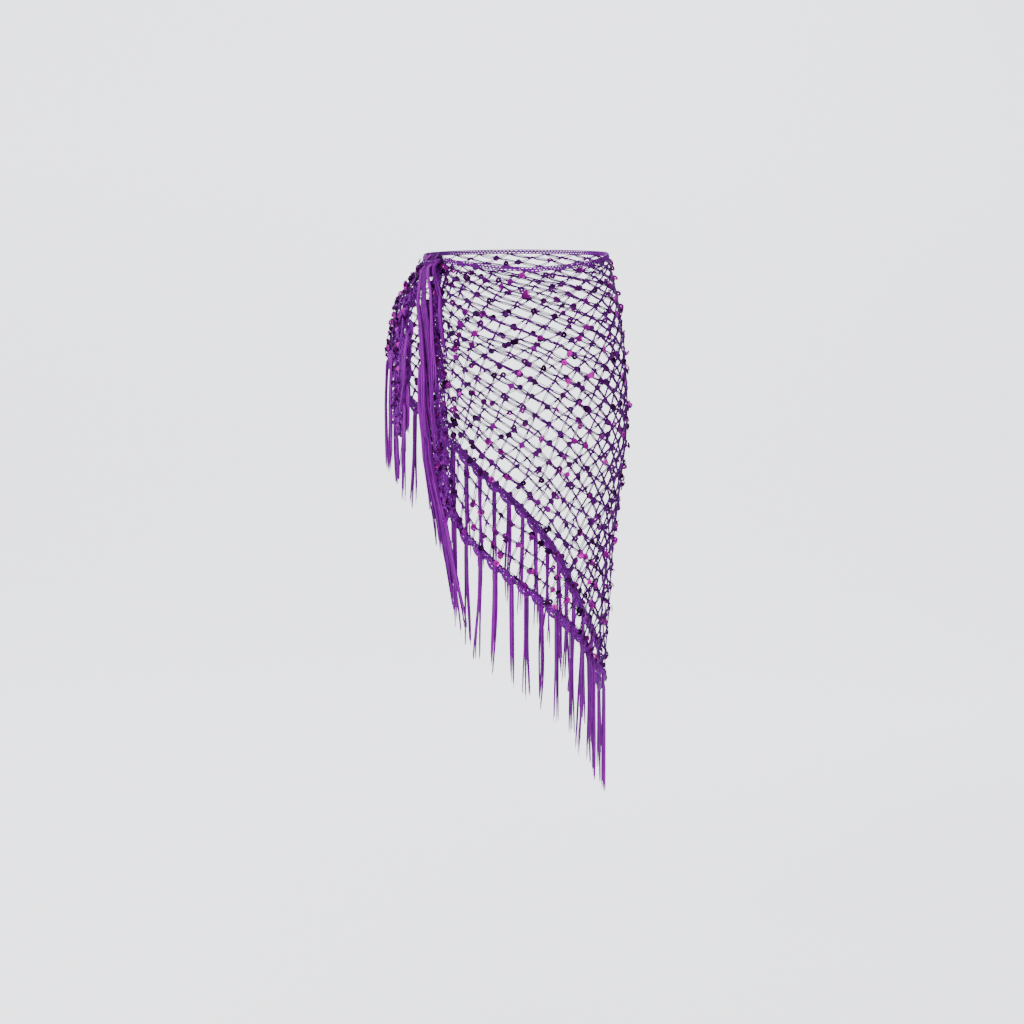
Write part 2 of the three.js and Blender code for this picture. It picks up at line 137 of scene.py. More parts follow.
@dataclass(frozen=True)
class Figure:
    """The worn form: a general figure's waist, hips and thighs as level sections.

    Gathers are found by angles that count back from the knot above last_angle. The probes are
    how far to both sides the form is read for its directions.
    """

    squareness: float = 2.2
    gather_start: float = 14.0
    last_angle: float = 200.0
    probe_angle: float = 2.0
    probe_level: float = 8.0
    # level, centre x, half width, front depth, back depth
    sections: tuple[Row, ...] = (
        (20, 1, 127, 97, 90),
        (0, 0, 133, 100, 93),
        (-55, -11, 157, 112, 110),
        (-115, -13, 168, 118, 126),
        (-200, -13, 173, 120, 132),
        (-255, -11, 170, 120, 130),
        (-320, -9, 160, 119, 124),
        (-400, -4, 144, 117, 114),
        (-480, 3, 130, 113, 104),
        (-560, 7, 120, 109, 97),
        (-640, 8, 116, 106, 92),
        (-800, 8, 116, 106, 92),
    )
    folds: tuple[Fold, ...] = (
        Fold(84, 6, 3, -300, 120),
        Fold(104, 8, -3, -300, 150),
        Fold(128, 9, 5, -330, 160),
        Fold(150, 8, -5, -320, 180),
        Fold(169, 7, 6, -300, 200),
        Fold(188, 7, -4, -340, 200),
        Fold(206, 8, 7, -300, 200),
        Fold(228, 8, -4, -300, 150),
        Fold(250, 9, 5, -260, 150),
        Fold(282, 9, 3, -200, 120),
    )
    gathers: tuple[Gather, ...] = (
        Gather(49, 1.8, 2.2, 90),
        Gather(56, 2.2, 1.8, 130),
        Gather(64, 3.0, 1.4, 150),
        Gather(22, 2.0, 2.2, 90),
        Gather(14, 2.6, 1.8, 110),
        Gather(5, 3.0, 1.4, 120),
    )

    def fold_depth(self, angle: Array, z: Array) -> Array:
        """How far the net's folds and gathers lift it off the plain form.

        Args:
            angle: Degrees round the figure.
            z: Level in millimetres.

        Returns:
            The lift in millimetres.
        """
        depth = np.zeros(np.broadcast(angle, z).shape)
        for fold in self.folds:
            ridge = np.exp(-(((angle - fold.angle) / fold.spread) ** 2))
            depth += fold.depth * ridge * smooth((fold.top - z) / fold.reach)
        from_knot = np.where(angle > self.last_angle, angle - FULL_TURN, angle)
        for gather in self.gathers:
            ridge = np.exp(-(((from_knot - gather.angle) / gather.spread) ** 2))
            fade = smooth(1 + z / gather.reach) * smooth(-z / self.gather_start)
            depth += gather.depth * ridge * fade
        return depth

    def body_point(self, angle: Array, z: Array) -> Array:
        """Points of the plain form.

        Args:
            angle: Degrees round the figure.
            z: Level in millimetres.

        Returns:
            An array of points in millimetres.
        """
        power = 2 / self.squareness
        c = np.cos(np.radians(angle))
        s = np.sin(np.radians(angle))
        centre, half_width, front, back = (read(self.sections, z, k) for k in range(1, 5))
        x = centre - half_width * np.sign(c) * np.abs(c) ** power
        y = -np.where(s > 0, front, back) * np.sign(s) * np.abs(s) ** power
        return np.stack([x, y, np.broadcast_to(z, x.shape)], axis=-1)

    def directions(self, angle: Array, z: Array) -> tuple[Array, Array]:
        """Directions of the plain form.

        Args:
            angle: Degrees round the figure.
            z: Level in millimetres.

        Returns:
            Unit directions out of the form, and level round it towards larger angles.
        """
        ahead = self.body_point(angle + self.probe_angle, z)
        level_round = unit(ahead - self.body_point(angle - self.probe_angle, z))
        below = self.body_point(angle, z - self.probe_level)
        down = unit(below - self.body_point(angle, z + self.probe_level))
        return unit(np.cross(down, level_round)), level_round

    def worn(self, angle: Array, z: Array, out: Array = 0.0, along: Array = 0.0) -> Array:
        """Points of the worn cloth's middle.

        Args:
            angle: Degrees round the figure.
            z: Level in millimetres.
            out: How far off the cloth.
            along: How far round it, square to out.

        Returns:
            An array of points in millimetres.
        """
        angle, z = np.broadcast_arrays(np.asarray(angle, float), np.asarray(z, float))
        outwards, level_round = self.directions(angle, z)
        lift = np.asarray(out) + self.fold_depth(angle, z)
        point = self.body_point(angle, z) + outwards * lift[..., None]
        sideways = np.broadcast_to(np.asarray(along, float), z.shape)
        return point + level_round * sideways[..., None]


FIGURE = Figure()

POINT_ANGLE = 186.0
POINT_LEVEL = -622.0
SIDE_TOP = 4.0  # level of the band above the point
LAST_ROW = 44.0  # place of the point along each half's edge
HEM_END = 43.1  # place where the hem's tassels end
HEM_STATIONS = 90
CROCHET_ROWS = 48
ROWS_PER_CELL = 2
SIDE_GROWTH = 1.36  # how much deeper the rows grow towards the point
BAND_FADE = 3  # how soon the rows forget the dip of the band
HIP_LEVEL = -200.0  # strands hang plumb below it

# angle, level of the waist band
BAND_LEVELS = (
    (28, 1),
    (44, -1),
    (64, -4),
    (83, -9),
    (98, -11),
    (115, -8),
    (139, -3),
    (170, 4),
    (186, 5),
    (270, 6),
    (345, 4),
    (388, 1),
)


@dataclass(frozen=True)
class Flat:
    """A part of the cut laid flat: width and length in metres, and area in square metres."""

    size: tuple[float, float]
    area: float


@dataclass(frozen=True)
class HalfCut:
    """One half of the triangle, from the point's line to the knot side.

    The edge runs down from the knot to its corner, and from there it is the hem. Rows of crochet
    are counted from the band down, and cells from the point's line to the edge. spread says how
    much wider than the mean the cells are beside the point's line, at the band and at the point.
    """

    name: str
    turn: int
    seed: int
    # place along the edge, angle, level
    edge: tuple[tuple[float, float, float], ...]
    corner: float
    corner_row: int
    cells_at_band: float
    spread: tuple[float, float]
    edge_growth: float
    hem_tassels: int
    # level, width of the gathered end beside the edge
    tail_widths: tuple[tuple[float, float], ...]
    # level, angle of the end's inner line below the corner
    tail_below: tuple[tuple[float, float], ...]
    tail_swell: float
    tail_edging_top: float
    net_flat: Flat
    tail_flat: Flat

    @property
    def leads(self) -> bool:
        """Whether it carries what both halves share, such as the knots on the point's line."""
        return self.turn < 0

    def cells(self, row: Array) -> Array:
        """Cells from the point's line to the edge.

        Args:
            row: Row of crochet, from 0 at the band.

        Returns:
            How many there are in that row.
        """
        row = np.asarray(row, float)
        at_corner = (CROCHET_ROWS - self.corner_row) / ROWS_PER_CELL
        above = mix(self.cells_at_band, at_corner, row / self.corner_row)
        return np.where(row <= self.corner_row, above, (CROCHET_ROWS - row) / ROWS_PER_CELL)

    def place(self, row: Array, cell: Array) -> tuple[Array, Array]:
        """Where a point of the net lies.

        Args:
            row: Row of crochet, from 0 at the band.
            cell: Cells from the point's line.

        Returns:
            Its angle and level.
        """
        share = np.clip(cell / np.maximum(self.cells(row), ROUNDING), 0.0, 1.0)
        spread = mix(*self.spread, row / CROCHET_ROWS)
        across = 1 - share * (1 + spread * (1 - share))
        above = self.corner * np.clip(row / self.corner_row, 0, 1) ** self.edge_growth
        below = (row - self.corner_row) / (CROCHET_ROWS - self.corner_row)
        at = above + (LAST_ROW - self.corner) * np.clip(below, 0, 1)
        side_level = mix(SIDE_TOP, POINT_LEVEL, (row / CROCHET_ROWS) ** SIDE_GROWTH)
        angle = mix(read(self.edge, at, 1), POINT_ANGLE, across)
        lift = read(BAND_LEVELS, angle, 1) - mix(self.edge[0][2], SIDE_TOP, across)
        z = mix(read(self.edge, at, 2), side_level, across)
        return angle, z + lift * (1 - row / CROCHET_ROWS) ** BAND_FADE


FRONT = HalfCut(
    name="front",
    turn=-1,
    seed=11,
    edge=(
        (0, 44, -7),
        (3, 53, -45),
        (8, 61, -130),
        (14, 63.5, -240),
        (19, 62, -344),
        (21, 66.5, -376),
        (24, 80, -412),
        (28, 97, -456),
        (33, 119, -499),
        (38, 148, -558),
        (44, 186, -622),
    ),
    corner=19,
    corner_row=21,
    cells_at_band=9.0,
    spread=(0.7, 0.12),
    edge_growth=1.13,
    hem_tassels=14,
    tail_widths=((-5, 9), (-50, 16), (-140, 25), (-270, 24), (-352, 14)),
    tail_below=(),
    tail_swell=3.0,
    tail_edging_top=-52.0,
    net_flat=Flat((0.45, 0.626), 0.18),
    tail_flat=Flat((0.504, 0.27), 0.068),
)
BACK = HalfCut(
    name="back",
    turn=1,
    seed=23,
    edge=(
        (0, 388, -5),
        (7, 385, -55),
        (14, 384, -118),
        (17, 362, -131),
        (20, 341, -163),
        (25, 309, -238),
        (30, 281, -322),
        (35, 250, -420),
        (40, 214, -536),
        (44, 186, -622),
    ),
    corner=14,
    corner_row=14,
    cells_at_band=12.0,
    spread=(0.45, 0.12),
    edge_growth=1.0,
    hem_tassels=24,
    tail_widths=((-5, 8), (-55, 20), (-120, 27), (-180, 26), (-232, 16)),
    tail_below=((-128, 385.6), (-155, 385.6), (-182, 385.6), (-208, 385.6), (-232, 385.6)),
    tail_swell=2.0,
    tail_edging_top=-82.0,
    net_flat=Flat((0.54, 0.626), 0.207),
    tail_flat=Flat((0.414, 0.199), 0.041),
)


class Slot(Enum):
    """The material slots."""

    NET = "net"
    CORD = "cord"
    FRINGE = "fringe"
    SEQUIN = "sequin"


class Nodes:
    """Short calls to fill one material's node tree."""

    MIDDLE = 0.5  # where a ramp's new stop starts out

    def __init__(self, name: str) -> None:
        """Starts an empty material with one Principled shader.

        Args:
            name: The material's name.
        """
        self.material = bpy.data.materials.new(name)
        self.material.use_nodes = True
        self.tree = self.material.node_tree
        self.shader = self.tree.nodes["Principled BSDF"]

    def add(self, kind: str, **settings: object) -> bpy.types.Node:
        """Adds a node and sets its own properties.

        Args:
            kind: Blender's name of the node's type.
            settings: The properties.

        Returns:
            The node.
        """
        node = self.tree.nodes.new(kind)
        for key, value in settings.items():
            setattr(node, key, value)
        return node

    def link(self, source: bpy.types.NodeSocket, target: bpy.types.NodeSocket) -> None:
        """Links two sockets."""
        self.tree.links.new(source, target)

    def set(self, node: bpy.types.Node, values: dict[str, object]) -> None:
        """Sets a node's own sockets by their names."""
        for socket, value in values.items():
            node.inputs[socket].default_value = value

    def math(self, operation: str, a: object, b: object = 0.0) -> bpy.types.NodeSocket:
        """Adds a Math node.

        Args:
            operation: Blender's name of it.
            a: A socket or a number.
            b: A socket or a number.

        Returns:
            The result's socket.
        """
        node = self.add("ShaderNodeMath", operation=operation)
        for socket, value in zip(node.inputs, (a, b)):
            if isinstance(value, bpy.types.NodeSocket):
                self.link(value, socket)
            else:
                socket.default_value = value
        return node.outputs[0]

    def ramp(
        self,
        factor: bpy.types.NodeSocket,
        stops: Sequence[tuple[float, Colour]],
        constant: bool = False,
    ) -> bpy.types.NodeSocket:
        """Adds a colour ramp.

        Args:
            factor: What the ramp reads.
            stops: Positions and colours.
            constant: Whether each colour holds until the next stop.

        Returns:
            The colour's socket.
        """
        node = self.add("ShaderNodeValToRGB")
        if constant:
            node.color_ramp.interpolation = "CONSTANT"
        elements = node.color_ramp.elements
        while len(elements) < len(stops):
            elements.new(self.MIDDLE)
        for element, (position, colour) in zip(elements, stops):
            element.position = position
            element.color = (*colour, 1.0)
        self.link(factor, node.inputs[0])
        return node.outputs[0]


@dataclass(frozen=True)
class YarnFinish:
    """Twisted yarn: plies that wind round the thread, with painted shade in the grooves between the
    plies, lighter colour on the plies, and small random changes of tone.
    """

    name: str
    deep: Colour
    base: Colour
    bright: Colour
    roughness: float
    specular: float
    variety: float = 0.3
    plies: int = 2
    twist_per_mm: float = 0.42
    # share of the colour that is painted shade between the plies
    ply_shade_share: float = 0.4
    noise_share: float = 0.4
    noise_scale: float = 90.0
    noise_detail: float = 4.0
    stops: tuple[float, float, float] = (0.15, 0.55, 0.95)
    bump: float = 0.25
    bump_distance: float = 0.0003
    tint: tuple[float, ...] = (0.8, 0.35, 1.0, 1.0)

    def build(self) -> bpy.types.Material:
        """Makes the material from the threads' own UVs.

        Returns:
            The material.
        """
        nodes = Nodes(self.name)
        ply = self.ply(nodes)
        place = nodes.add("ShaderNodeTexCoord")
        noise = nodes.add("ShaderNodeTexNoise")
        nodes.set(noise, {"Scale": self.noise_scale, "Detail": self.noise_detail})
        nodes.link(place.outputs["Object"], noise.inputs["Vector"])
        shape = nodes.add("ShaderNodeNewGeometry")
        own = nodes.math("MULTIPLY", shape.outputs["Random Per Island"], self.variety)
        # Painted shade: the ply wave darkens the colour between the plies and lightens it on them;
        # the noise is random tone.
        painted_ply_shade = nodes.math("MULTIPLY", ply, self.ply_shade_share)
        painted_ply_shade_and_grain = nodes.math("ADD", painted_ply_shade, nodes.math("MULTIPLY", noise.outputs[0], self.noise_share))
        shade = nodes.math("ADD", painted_ply_shade_and_grain, own)
        colours = (self.deep, self.base, self.bright)
        colour = nodes.ramp(shade, tuple(zip(self.stops, colours)))
        nodes.link(colour, nodes.shader.inputs["Base Color"])
        bump = nodes.add("ShaderNodeBump")
        nodes.set(bump, {"Strength": self.bump, "Distance": self.bump_distance})
        nodes.link(ply, bump.inputs["Height"])
        nodes.link(bump.outputs[0], nodes.shader.inputs["Normal"])
        nodes.shader.inputs["Roughness"].default_value = self.roughness
        nodes.shader.inputs["Specular IOR Level"].default_value = self.specular
        nodes.shader.inputs["Specular Tint"].default_value = self.tint
        return nodes.material

    def ply(self, nodes: Nodes) -> bpy.types.NodeSocket:
        """Adds the wave of the plies, which wind round the thread.

        Args:
            nodes: The material's nodes.

        Returns:
            A socket that runs from 0 between the plies to 1 on them.
        """
        uv = nodes.add("ShaderNodeUVMap", uv_map=UV_NAME)
        split = nodes.add("ShaderNodeSeparateXYZ")
        nodes.link(uv.outputs[0], split.inputs[0])
        around = nodes.math("MULTIPLY", split.outputs[0], float(self.plies))
        along = nodes.math("MULTIPLY", split.outputs[1], self.twist_per_mm)
        phase = nodes.math("MULTIPLY", nodes.math("ADD", around, along), math.tau)
        wave = nodes.math("SINE", phase)
        return nodes.math("ADD", nodes.math("MULTIPLY", wave, 0.5), 0.5)


@dataclass(frozen=True)
class SequinFinish:
    """Metallic foil in purples and pinks, each sequin in one of them. The shades are partly the
    foil's colour and partly painted reflection: the near-black and the brightest pink ones paint
    dark and bright surroundings caught in the foil.
    """

    name: str
    metallic: float = 0.7
    roughness: float = 0.3
    specular: float = 0.3
    tint: tuple[float, ...] = (0.9, 0.25, 1.0, 1.0)
    # where each shade starts, as a share of all the sequins; the near-black and brightest shades
    # are painted reflection
    foil_shades_and_painted_reflections: tuple[tuple[float, Colour], ...] = (
        (0.0, (0.012, 0.0, 0.018)),
        (0.3, (0.05, 0.0, 0.068)),
        (0.5, (0.11, 0.0, 0.13)),
        (0.68, (0.19, 0.0, 0.17)),
        (0.87, (0.32, 0.0, 0.25)),
    )

    def build(self) -> bpy.types.Material:
        """Makes the material.

        Returns:
            The material.
        """
        nodes = Nodes(self.name)
        shape = nodes.add("ShaderNodeNewGeometry")
        # Each sequin takes one shade at random, partly foil colour and partly painted reflection.
        colour = nodes.ramp(shape.outputs["Random Per Island"], self.foil_shades_and_painted_reflections, constant=True)
        nodes.link(colour, nodes.shader.inputs["Base Color"])
        nodes.shader.inputs["Metallic"].default_value = self.metallic
        nodes.shader.inputs["Roughness"].default_value = self.roughness
        nodes.shader.inputs["Specular IOR Level"].default_value = self.specular
        nodes.shader.inputs["Specular Tint"].default_value = self.tint
        return nodes.material


@dataclass(frozen=True)
class PaperFinish:
    """Pale studio paper, which glows a little so that it stays even."""

    name: str = "pale_paper"
    colour: tuple[float, ...] = (0.92, 0.93, 0.95, 1)
    roughness: float = 0.9
    glow: tuple[float, ...] = (0.93, 0.94, 1, 1)
    glow_strength: float = 0.95

    def build(self) -> bpy.types.Material:
        """Makes the material.

        Returns:
            The material.
        """
        nodes = Nodes(self.name)
        nodes.shader.inputs["Base Color"].default_value = self.colour
        nodes.shader.inputs["Roughness"].default_value = self.roughness
        nodes.shader.inputs["Emission Color"].default_value = self.glow
        nodes.shader.inputs["Emission Strength"].default_value = self.glow_strength
        return nodes.material


class Threads:
    """Collects closed round threads and makes them one mesh."""

    # A fixed direction turns each thread's sections: one for steep threads, one for the others.
    STEEP = 0.7
    STEEP_REFERENCE = np.array([0.31, 0.95, 0.0])
    LEVEL_REFERENCE = np.array([0.0, 0.1, 1.0])

    def __init__(self, sides: int = 5) -> None:
        """Starts with no threads.

        Args:
            sides: Sides of each thread's section.
        """
        self.sides = sides
        self.vertices: list[Array] = []
        self.faces: list[list[int]] = []
        self.uvs: list[Array] = []
        self.count = 0

    def add(self, paths: Array, radius: float | Array | Row) -> None:
        """Adds threads along paths.

        Args:
            paths: Points in millimetres, as threads by stations by 3.
            radius: One radius, or one for each station.
        """
        threads, stations, _ = paths.shape
        self.vertices.append(self.rings(paths, radius).reshape(-1, 3))
        self.add_faces(threads, stations)
        self.add_uvs(paths)
        self.count += threads * stations * self.sides

    def rings(self, paths: Array, radius: float | Array | Row) -> Array:
        """The threads' sections.

        Args:
            paths: Points, as threads by stations by 3.
            radius: One radius, or one for each station.

        Returns:
            Points, as threads by stations by sides by 3.
        """
        tangent = unit(np.gradient(paths, axis=1))
        steep = np.abs(unit(paths[:, -1] - paths[:, 0])[:, 2]) > self.STEEP
        reference = np.where(steep[:, None], self.STEEP_REFERENCE, self.LEVEL_REFERENCE)
        side = unit(np.cross(tangent, reference[:, None, :]))
        up = np.cross(side, tangent)
        turn = math.tau * np.arange(self.sides) / self.sides
        ring = np.cos(turn)[:, None] * side[:, :, None, :]
        ring = ring + np.sin(turn)[:, None] * up[:, :, None, :]
        radii = np.broadcast_to(np.asarray(radius, float), paths.shape[:2])
        return paths[:, :, None, :] + radii[:, :, None, None] * ring

    def add_faces(self, threads: int, stations: int) -> None:
        """Adds the walls between the sections and a cap at both ends.

        Args:
            threads: How many threads are added.
            stations: Sections of each one.
        """
        corner = np.arange(self.sides)
        start = self.count + (np.arange(threads) * stations * self.sides)[:, None, None]
        section = start + (np.arange(stations - 1) * self.sides)[None, :, None]
        here = section + corner
        after = section + (corner + 1) % self.sides
        walls = np.stack([here, after, after + self.sides, here + self.sides], axis=-1)
        self.faces.extend(walls.reshape(-1, 4).tolist())
        first = start[:, 0, :]
        self.faces.extend((first + corner[::-1]).tolist())
        self.faces.extend((first + (stations - 1) * self.sides + corner).tolist())

    def add_uvs(self, paths: Array) -> None:
        """Adds the faces' UVs: once round the thread, and millimetres along it.

        Args:
            paths: Points, as threads by stations by 3.
        """
        threads, stations, _ = paths.shape
        step = np.linalg.norm(np.diff(paths, axis=1), axis=-1)
        length = np.concatenate([np.zeros((threads, 1)), np.cumsum(step, axis=1)], axis=1)
        shape = (threads, stations - 1, self.sides)
        u0 = np.broadcast_to(np.arange(self.sides) / self.sides, shape)
        u1 = u0 + 1 / self.sides
        v0 = np.broadcast_to(length[:, :-1, None], shape)
        v1 = np.broadcast_to(length[:, 1:, None], shape)
        corners = [np.stack(c, axis=-1) for c in ((u0, v0), (u1, v0), (u1, v1), (u0, v1))]
        self.uvs.append(np.stack(corners, axis=-2).reshape(-1, 2))
        self.uvs.append(np.zeros((2 * threads * self.sides, 2)))

    def mesh(self, name: str, material: bpy.types.Material) -> bpy.types.Object:
        """Makes the object, in metres.

        Args:
            name: The piece's name.
            material: Its finish.

        Returns:
            The new object, linked to the scene.
        """
        data = bpy.data.meshes.new(name)
        vertices = np.concatenate(self.vertices) * MM
        data.from_pydata(vertices.tolist(), [], self.faces)
        layer = data.uv_layers.new(name=UV_NAME)
        layer.data.foreach_set("uv", np.concatenate(self.uvs).astype(np.float32).ravel())
        data.shade_smooth()
        data.materials.append(material)
        data.update()
        return add_object(name, data)


def arc(start: Array, end: Array, bow: Array, stations: int) -> Array:
    """Paths from start to end that bow out in the middle.

    Args:
        start: Points, as threads by 3.
        end: Points, as threads by 3.
        bow: The middle's shift from the straight line, as threads by 3.
        stations: Points on each path.

    Returns:
        Paths, as threads by stations by 3.
    """
    share = np.linspace(0, 1, stations)[None, :, None]
    swell = 4 * share * (1 - share)
    return mix(start[:, None, :], end[:, None, :], share) + bow[:, None, :] * swell


@dataclass
class SequinSet:
    """Round cupped sequins with a hole in the middle.

    The shoulder is where the flat middle turns up into the cup, as a share of the radius and of
    the cup's height.
    """

    radius: float = 4.5
    hole: float = 0.7
    cup: float = 0.7
    shoulder: tuple[float, float] = (0.62, 0.12)
    thickness: float = 0.18
    sides: int = 10
    reference: tuple[float, float, float] = (0.0, 0.2, 1.0)

    def rings(self, centres: Array, normals: Array) -> Array:
        """The circles that make the sequins, over their faces and back under them.

        Args:
            centres: Points in millimetres.
            normals: Unit directions that they face.

        Returns:
            Points, as sequins by circles by sides by 3.
        """
        side = unit(np.cross(normals, self.reference))
        up = np.cross(normals, side)
        turn = (math.tau * np.arange(self.sides) / self.sides)[None, :, None]
        circle = np.cos(turn) * side[:, None, :] + np.sin(turn) * up[:, None, :]
        share, rise = self.shoulder
        over = [(self.hole, 0.0), (self.radius * share, rise * self.cup), (self.radius, self.cup)]
        under = [(radius, height - self.thickness) for radius, height in reversed(over)]
        rings = []
        for radius, height in over + under:
            rings.append(centres[:, None, :] + radius * circle + normals[:, None, :] * height)
        return np.stack(rings, axis=1)

    def build(
        self, name: str, centres: Array, normals: Array, material: bpy.types.Material
    ) -> bpy.types.Object:
        """Makes one mesh of all the sequins of a piece.

        Args:
            name: The piece's name.
            centres: Points in millimetres.
            normals: Where each one faces.
            material: The foil finish.

        Returns:
            The new object.
        """
        points = self.rings(centres, unit(normals))
        count, levels, sides, _ = points.shape
        start = (np.arange(count) * levels * sides)[:, None, None]
        level = np.arange(levels)[None, :, None]
        spot = np.arange(sides)[None, None, :]
        lower, upper = start + level * sides, start + ((level + 1) % levels) * sides
        ahead = (spot + 1) % sides
        faces = np.stack([lower + spot, upper + spot, upper + ahead, lower + ahead], axis=-1)
        data = bpy.data.meshes.new(name)
        data.from_pydata((points.reshape(-1, 3) * MM).tolist(), [], faces.reshape(-1, 4).tolist())
        data.materials.append(material)
        data.update()
        log.info("%s: %d sequins", name, count)
        return add_object(name, data)


@dataclass(frozen=True)
class Loops:
    """The net's long loops in one direction.

    step is -1 for loops that run down towards the point's line, and 1 for those that run away
    from it. lanes are the threads side by side, bowed apart in the loop's middle.
    """

    step: int
    lanes: tuple[int, ...]
    radius: float
    apart: float


@dataclass(frozen=True)
class CrochetKnot:
    """Sizes of the net's short tight knots: two legs, a cap and a turn of thread."""

    leg: float = 6.4
    leg_range: tuple[float, float] = (0.8, 1.15)
    leg_radii: Row = (1.5, 1.45, 0.85)
    edge_lean: float = 0.7
    seat: float = 0.8
    elbow: float = 0.45
    elbow_out: float = 1.0
    foot_out: float = 0.3
    cap_top: float = 2.6
    cap_low: float = 0.8
    cap_out: float = 0.5
    cap_radii: Row = (0.9, 1.6)
    turn_size: float = 1.6
    turn_radius: float = 0.8
    turn_tilt: float = 0.7
    turn_stations: int = 6


@dataclass
class Net:
    """One half of the net, in love-knot crochet: long open loops joined by short tight knots.

    The knots of even rows lie at whole cells, and those of odd rows at half cells. The threads
    are built before the sequins, because both draw from the same chances.
    """

    half: HalfCut
    jitter: float = 1.1
    level_jitter: float = 0.6
    round_jitter: float = 0.7
    loops: tuple[Loops, ...] = (
        Loops(step=-1, lanes=(-1, 0, 1), radius=0.58, apart=1.2),
        Loops(step=1, lanes=(-1, 1), radius=0.6, apart=0.72),
    )
    loop_stations: int = 5
    loop_wobble: float = 0.25
    loop_out: tuple[float, float] = (-0.2, 0.6)
    loop_sag: float = 0.5
    lane_gap: float = 0.4
    fuller_side: float = 0.4
    fuller_spread: float = 40.0
    knot: CrochetKnot = CrochetKnot()
    sequin_share: float = 0.58
    # how likely one, two and three sequins are
    sequin_odds: tuple[float, float, float] = (0.5, 0.34, 0.16)
    sequin_tilt: float = 0.42
    sequin_wander: float = 1.5
    sequin_out: float = 2.6
    sequin_layer: float = 1.2

    def __post_init__(self) -> None:
        """Works out where the knots lie and which ones are joined."""
        self.random = np.random.default_rng(self.half.seed)
        self.index: dict[tuple[int, int], int] = {}
        rows, cells, loose = [], [], []
        for row in range(CROCHET_ROWS):
            width = float(self.half.cells(row))
            reach = width + (0.5 if row < self.half.corner_row else 0.0)
            for twice in range(row % 2, int(reach * 2 + ROUNDING) + 1, 2):
                held = row == 0 or twice == 0 or twice / 2 >= width
                self.index[(row, twice)] = len(rows)
                rows.append(row)
                cells.append(min(twice / 2, width))
                loose.append(0.0 if held else self.jitter)
        row, cell = np.array(rows, float), np.array(cells)
        self.angle, z = self.half.place(row, cell)
        z = z + self.random.normal(0, self.level_jitter, len(rows)) * loose
        along = self.random.normal(0, self.round_jitter, len(rows)) * loose
        self.points = FIGURE.worn(self.angle, z, 0.0, along)
        self.out, self.level_round = FIGURE.directions(self.angle, z)
        self.lower = {step: self.neighbours(step) for step in (-1, 1)}
        self.knotted = (self.half.leads | (cell > 0)) & (row > 0)

    def neighbours(self, step: int) -> Array:
        """The knots one row down.

        Args:
            step: -1 for half a cell nearer the point's line, and 1 for half a cell farther.

        Returns:
            The number of each knot's neighbour, or -1 where it has none.
        """
        lower = np.full(len(self.index), -1)
        for (row, twice), number in self.index.items():
            lower[number] = self.index.get((row + 1, twice + step), -1)
        return lower

    def strands(self, threads: Threads) -> None:
        """Adds the long loops between the knots.

        Args:
            threads: What they are added to.
        """
        for loops in self.loops:
            lower = self.lower[loops.step]
            upper = np.nonzero(lower >= 0)[0]
            start, end, out = self.points[upper], self.points[lower[upper]], self.out[upper]
            across = unit(np.cross(end - start, out))
            from_side = (self.angle[upper] - POINT_ANGLE) / self.fuller_spread
            fuller = 1 + self.fuller_side * np.exp(-(from_side**2))
            for lane in loops.lanes:
                wobble = self.random.normal(0, self.loop_wobble, len(upper))
                bow = across * (lane * loops.apart + wobble)[:, None]
                bow += out * self.random.uniform(*self.loop_out, len(upper))[:, None]
                bow[:, 2] -= self.loop_sag
                shift = across * lane * self.lane_gap
                paths = arc(start + shift, end + shift, bow, self.loop_stations)
                threads.add(paths, loops.radius * fuller[:, None])

    def knots(self, threads: Threads) -> None:
        """Adds the short tight knots: two legs that start down the loops, a cap and a turn.

        Args:
            threads: What they are added to.
        """
        knot = self.knot
        centre, out = self.points[self.knotted], self.out[self.knotted]
        side = self.level_round[self.knotted]
        up = unit(np.cross(out, side))
        up[up[:, 2] < 0] *= -1
        for step in (-1, 1):
            lower = self.lower[step][self.knotted]
            way = unit(self.points[lower] - centre)
            outwards = unit(side * -step * self.half.turn * knot.edge_lean - up)
            way[lower < 0] = outwards[lower < 0]
            reach = knot.leg * self.random.uniform(*knot.leg_range, len(centre))[:, None]
            top = centre + up * knot.seat + out * knot.seat
            elbow = centre + way * reach * knot.elbow + out * knot.elbow_out
            foot = centre + way * reach + out * knot.foot_out
            threads.add(np.stack([top, elbow, foot], axis=1), knot.leg_radii)
        top, low = centre + up * knot.cap_top, centre - up * knot.cap_low + out * knot.cap_out
        threads.add(np.stack([top, low], axis=1), knot.cap_radii)
        turn = np.linspace(0, math.tau, knot.turn_stations)[None, :, None]
        circle = np.cos(turn) * side[:, None, :] + np.sin(turn) * out[:, None, :]
        tilt = self.random.uniform(-knot.turn_tilt, knot.turn_tilt, len(centre))[:, None, None]
        ring = centre[:, None, :] + knot.turn_size * circle + up[:, None, :] * np.cos(turn) * tilt
        threads.add(ring, knot.turn_radius)

    def build(self, material: bpy.types.Material) -> bpy.types.Object:
        """Makes the net's mesh.

        Args:
            material: The yarn finish.

        Returns:
            The new object.
        """
        threads = Threads(sides=5)
        self.strands(threads)
        self.knots(threads)
        return threads.mesh(f"net_{self.half.name}_threads", material)

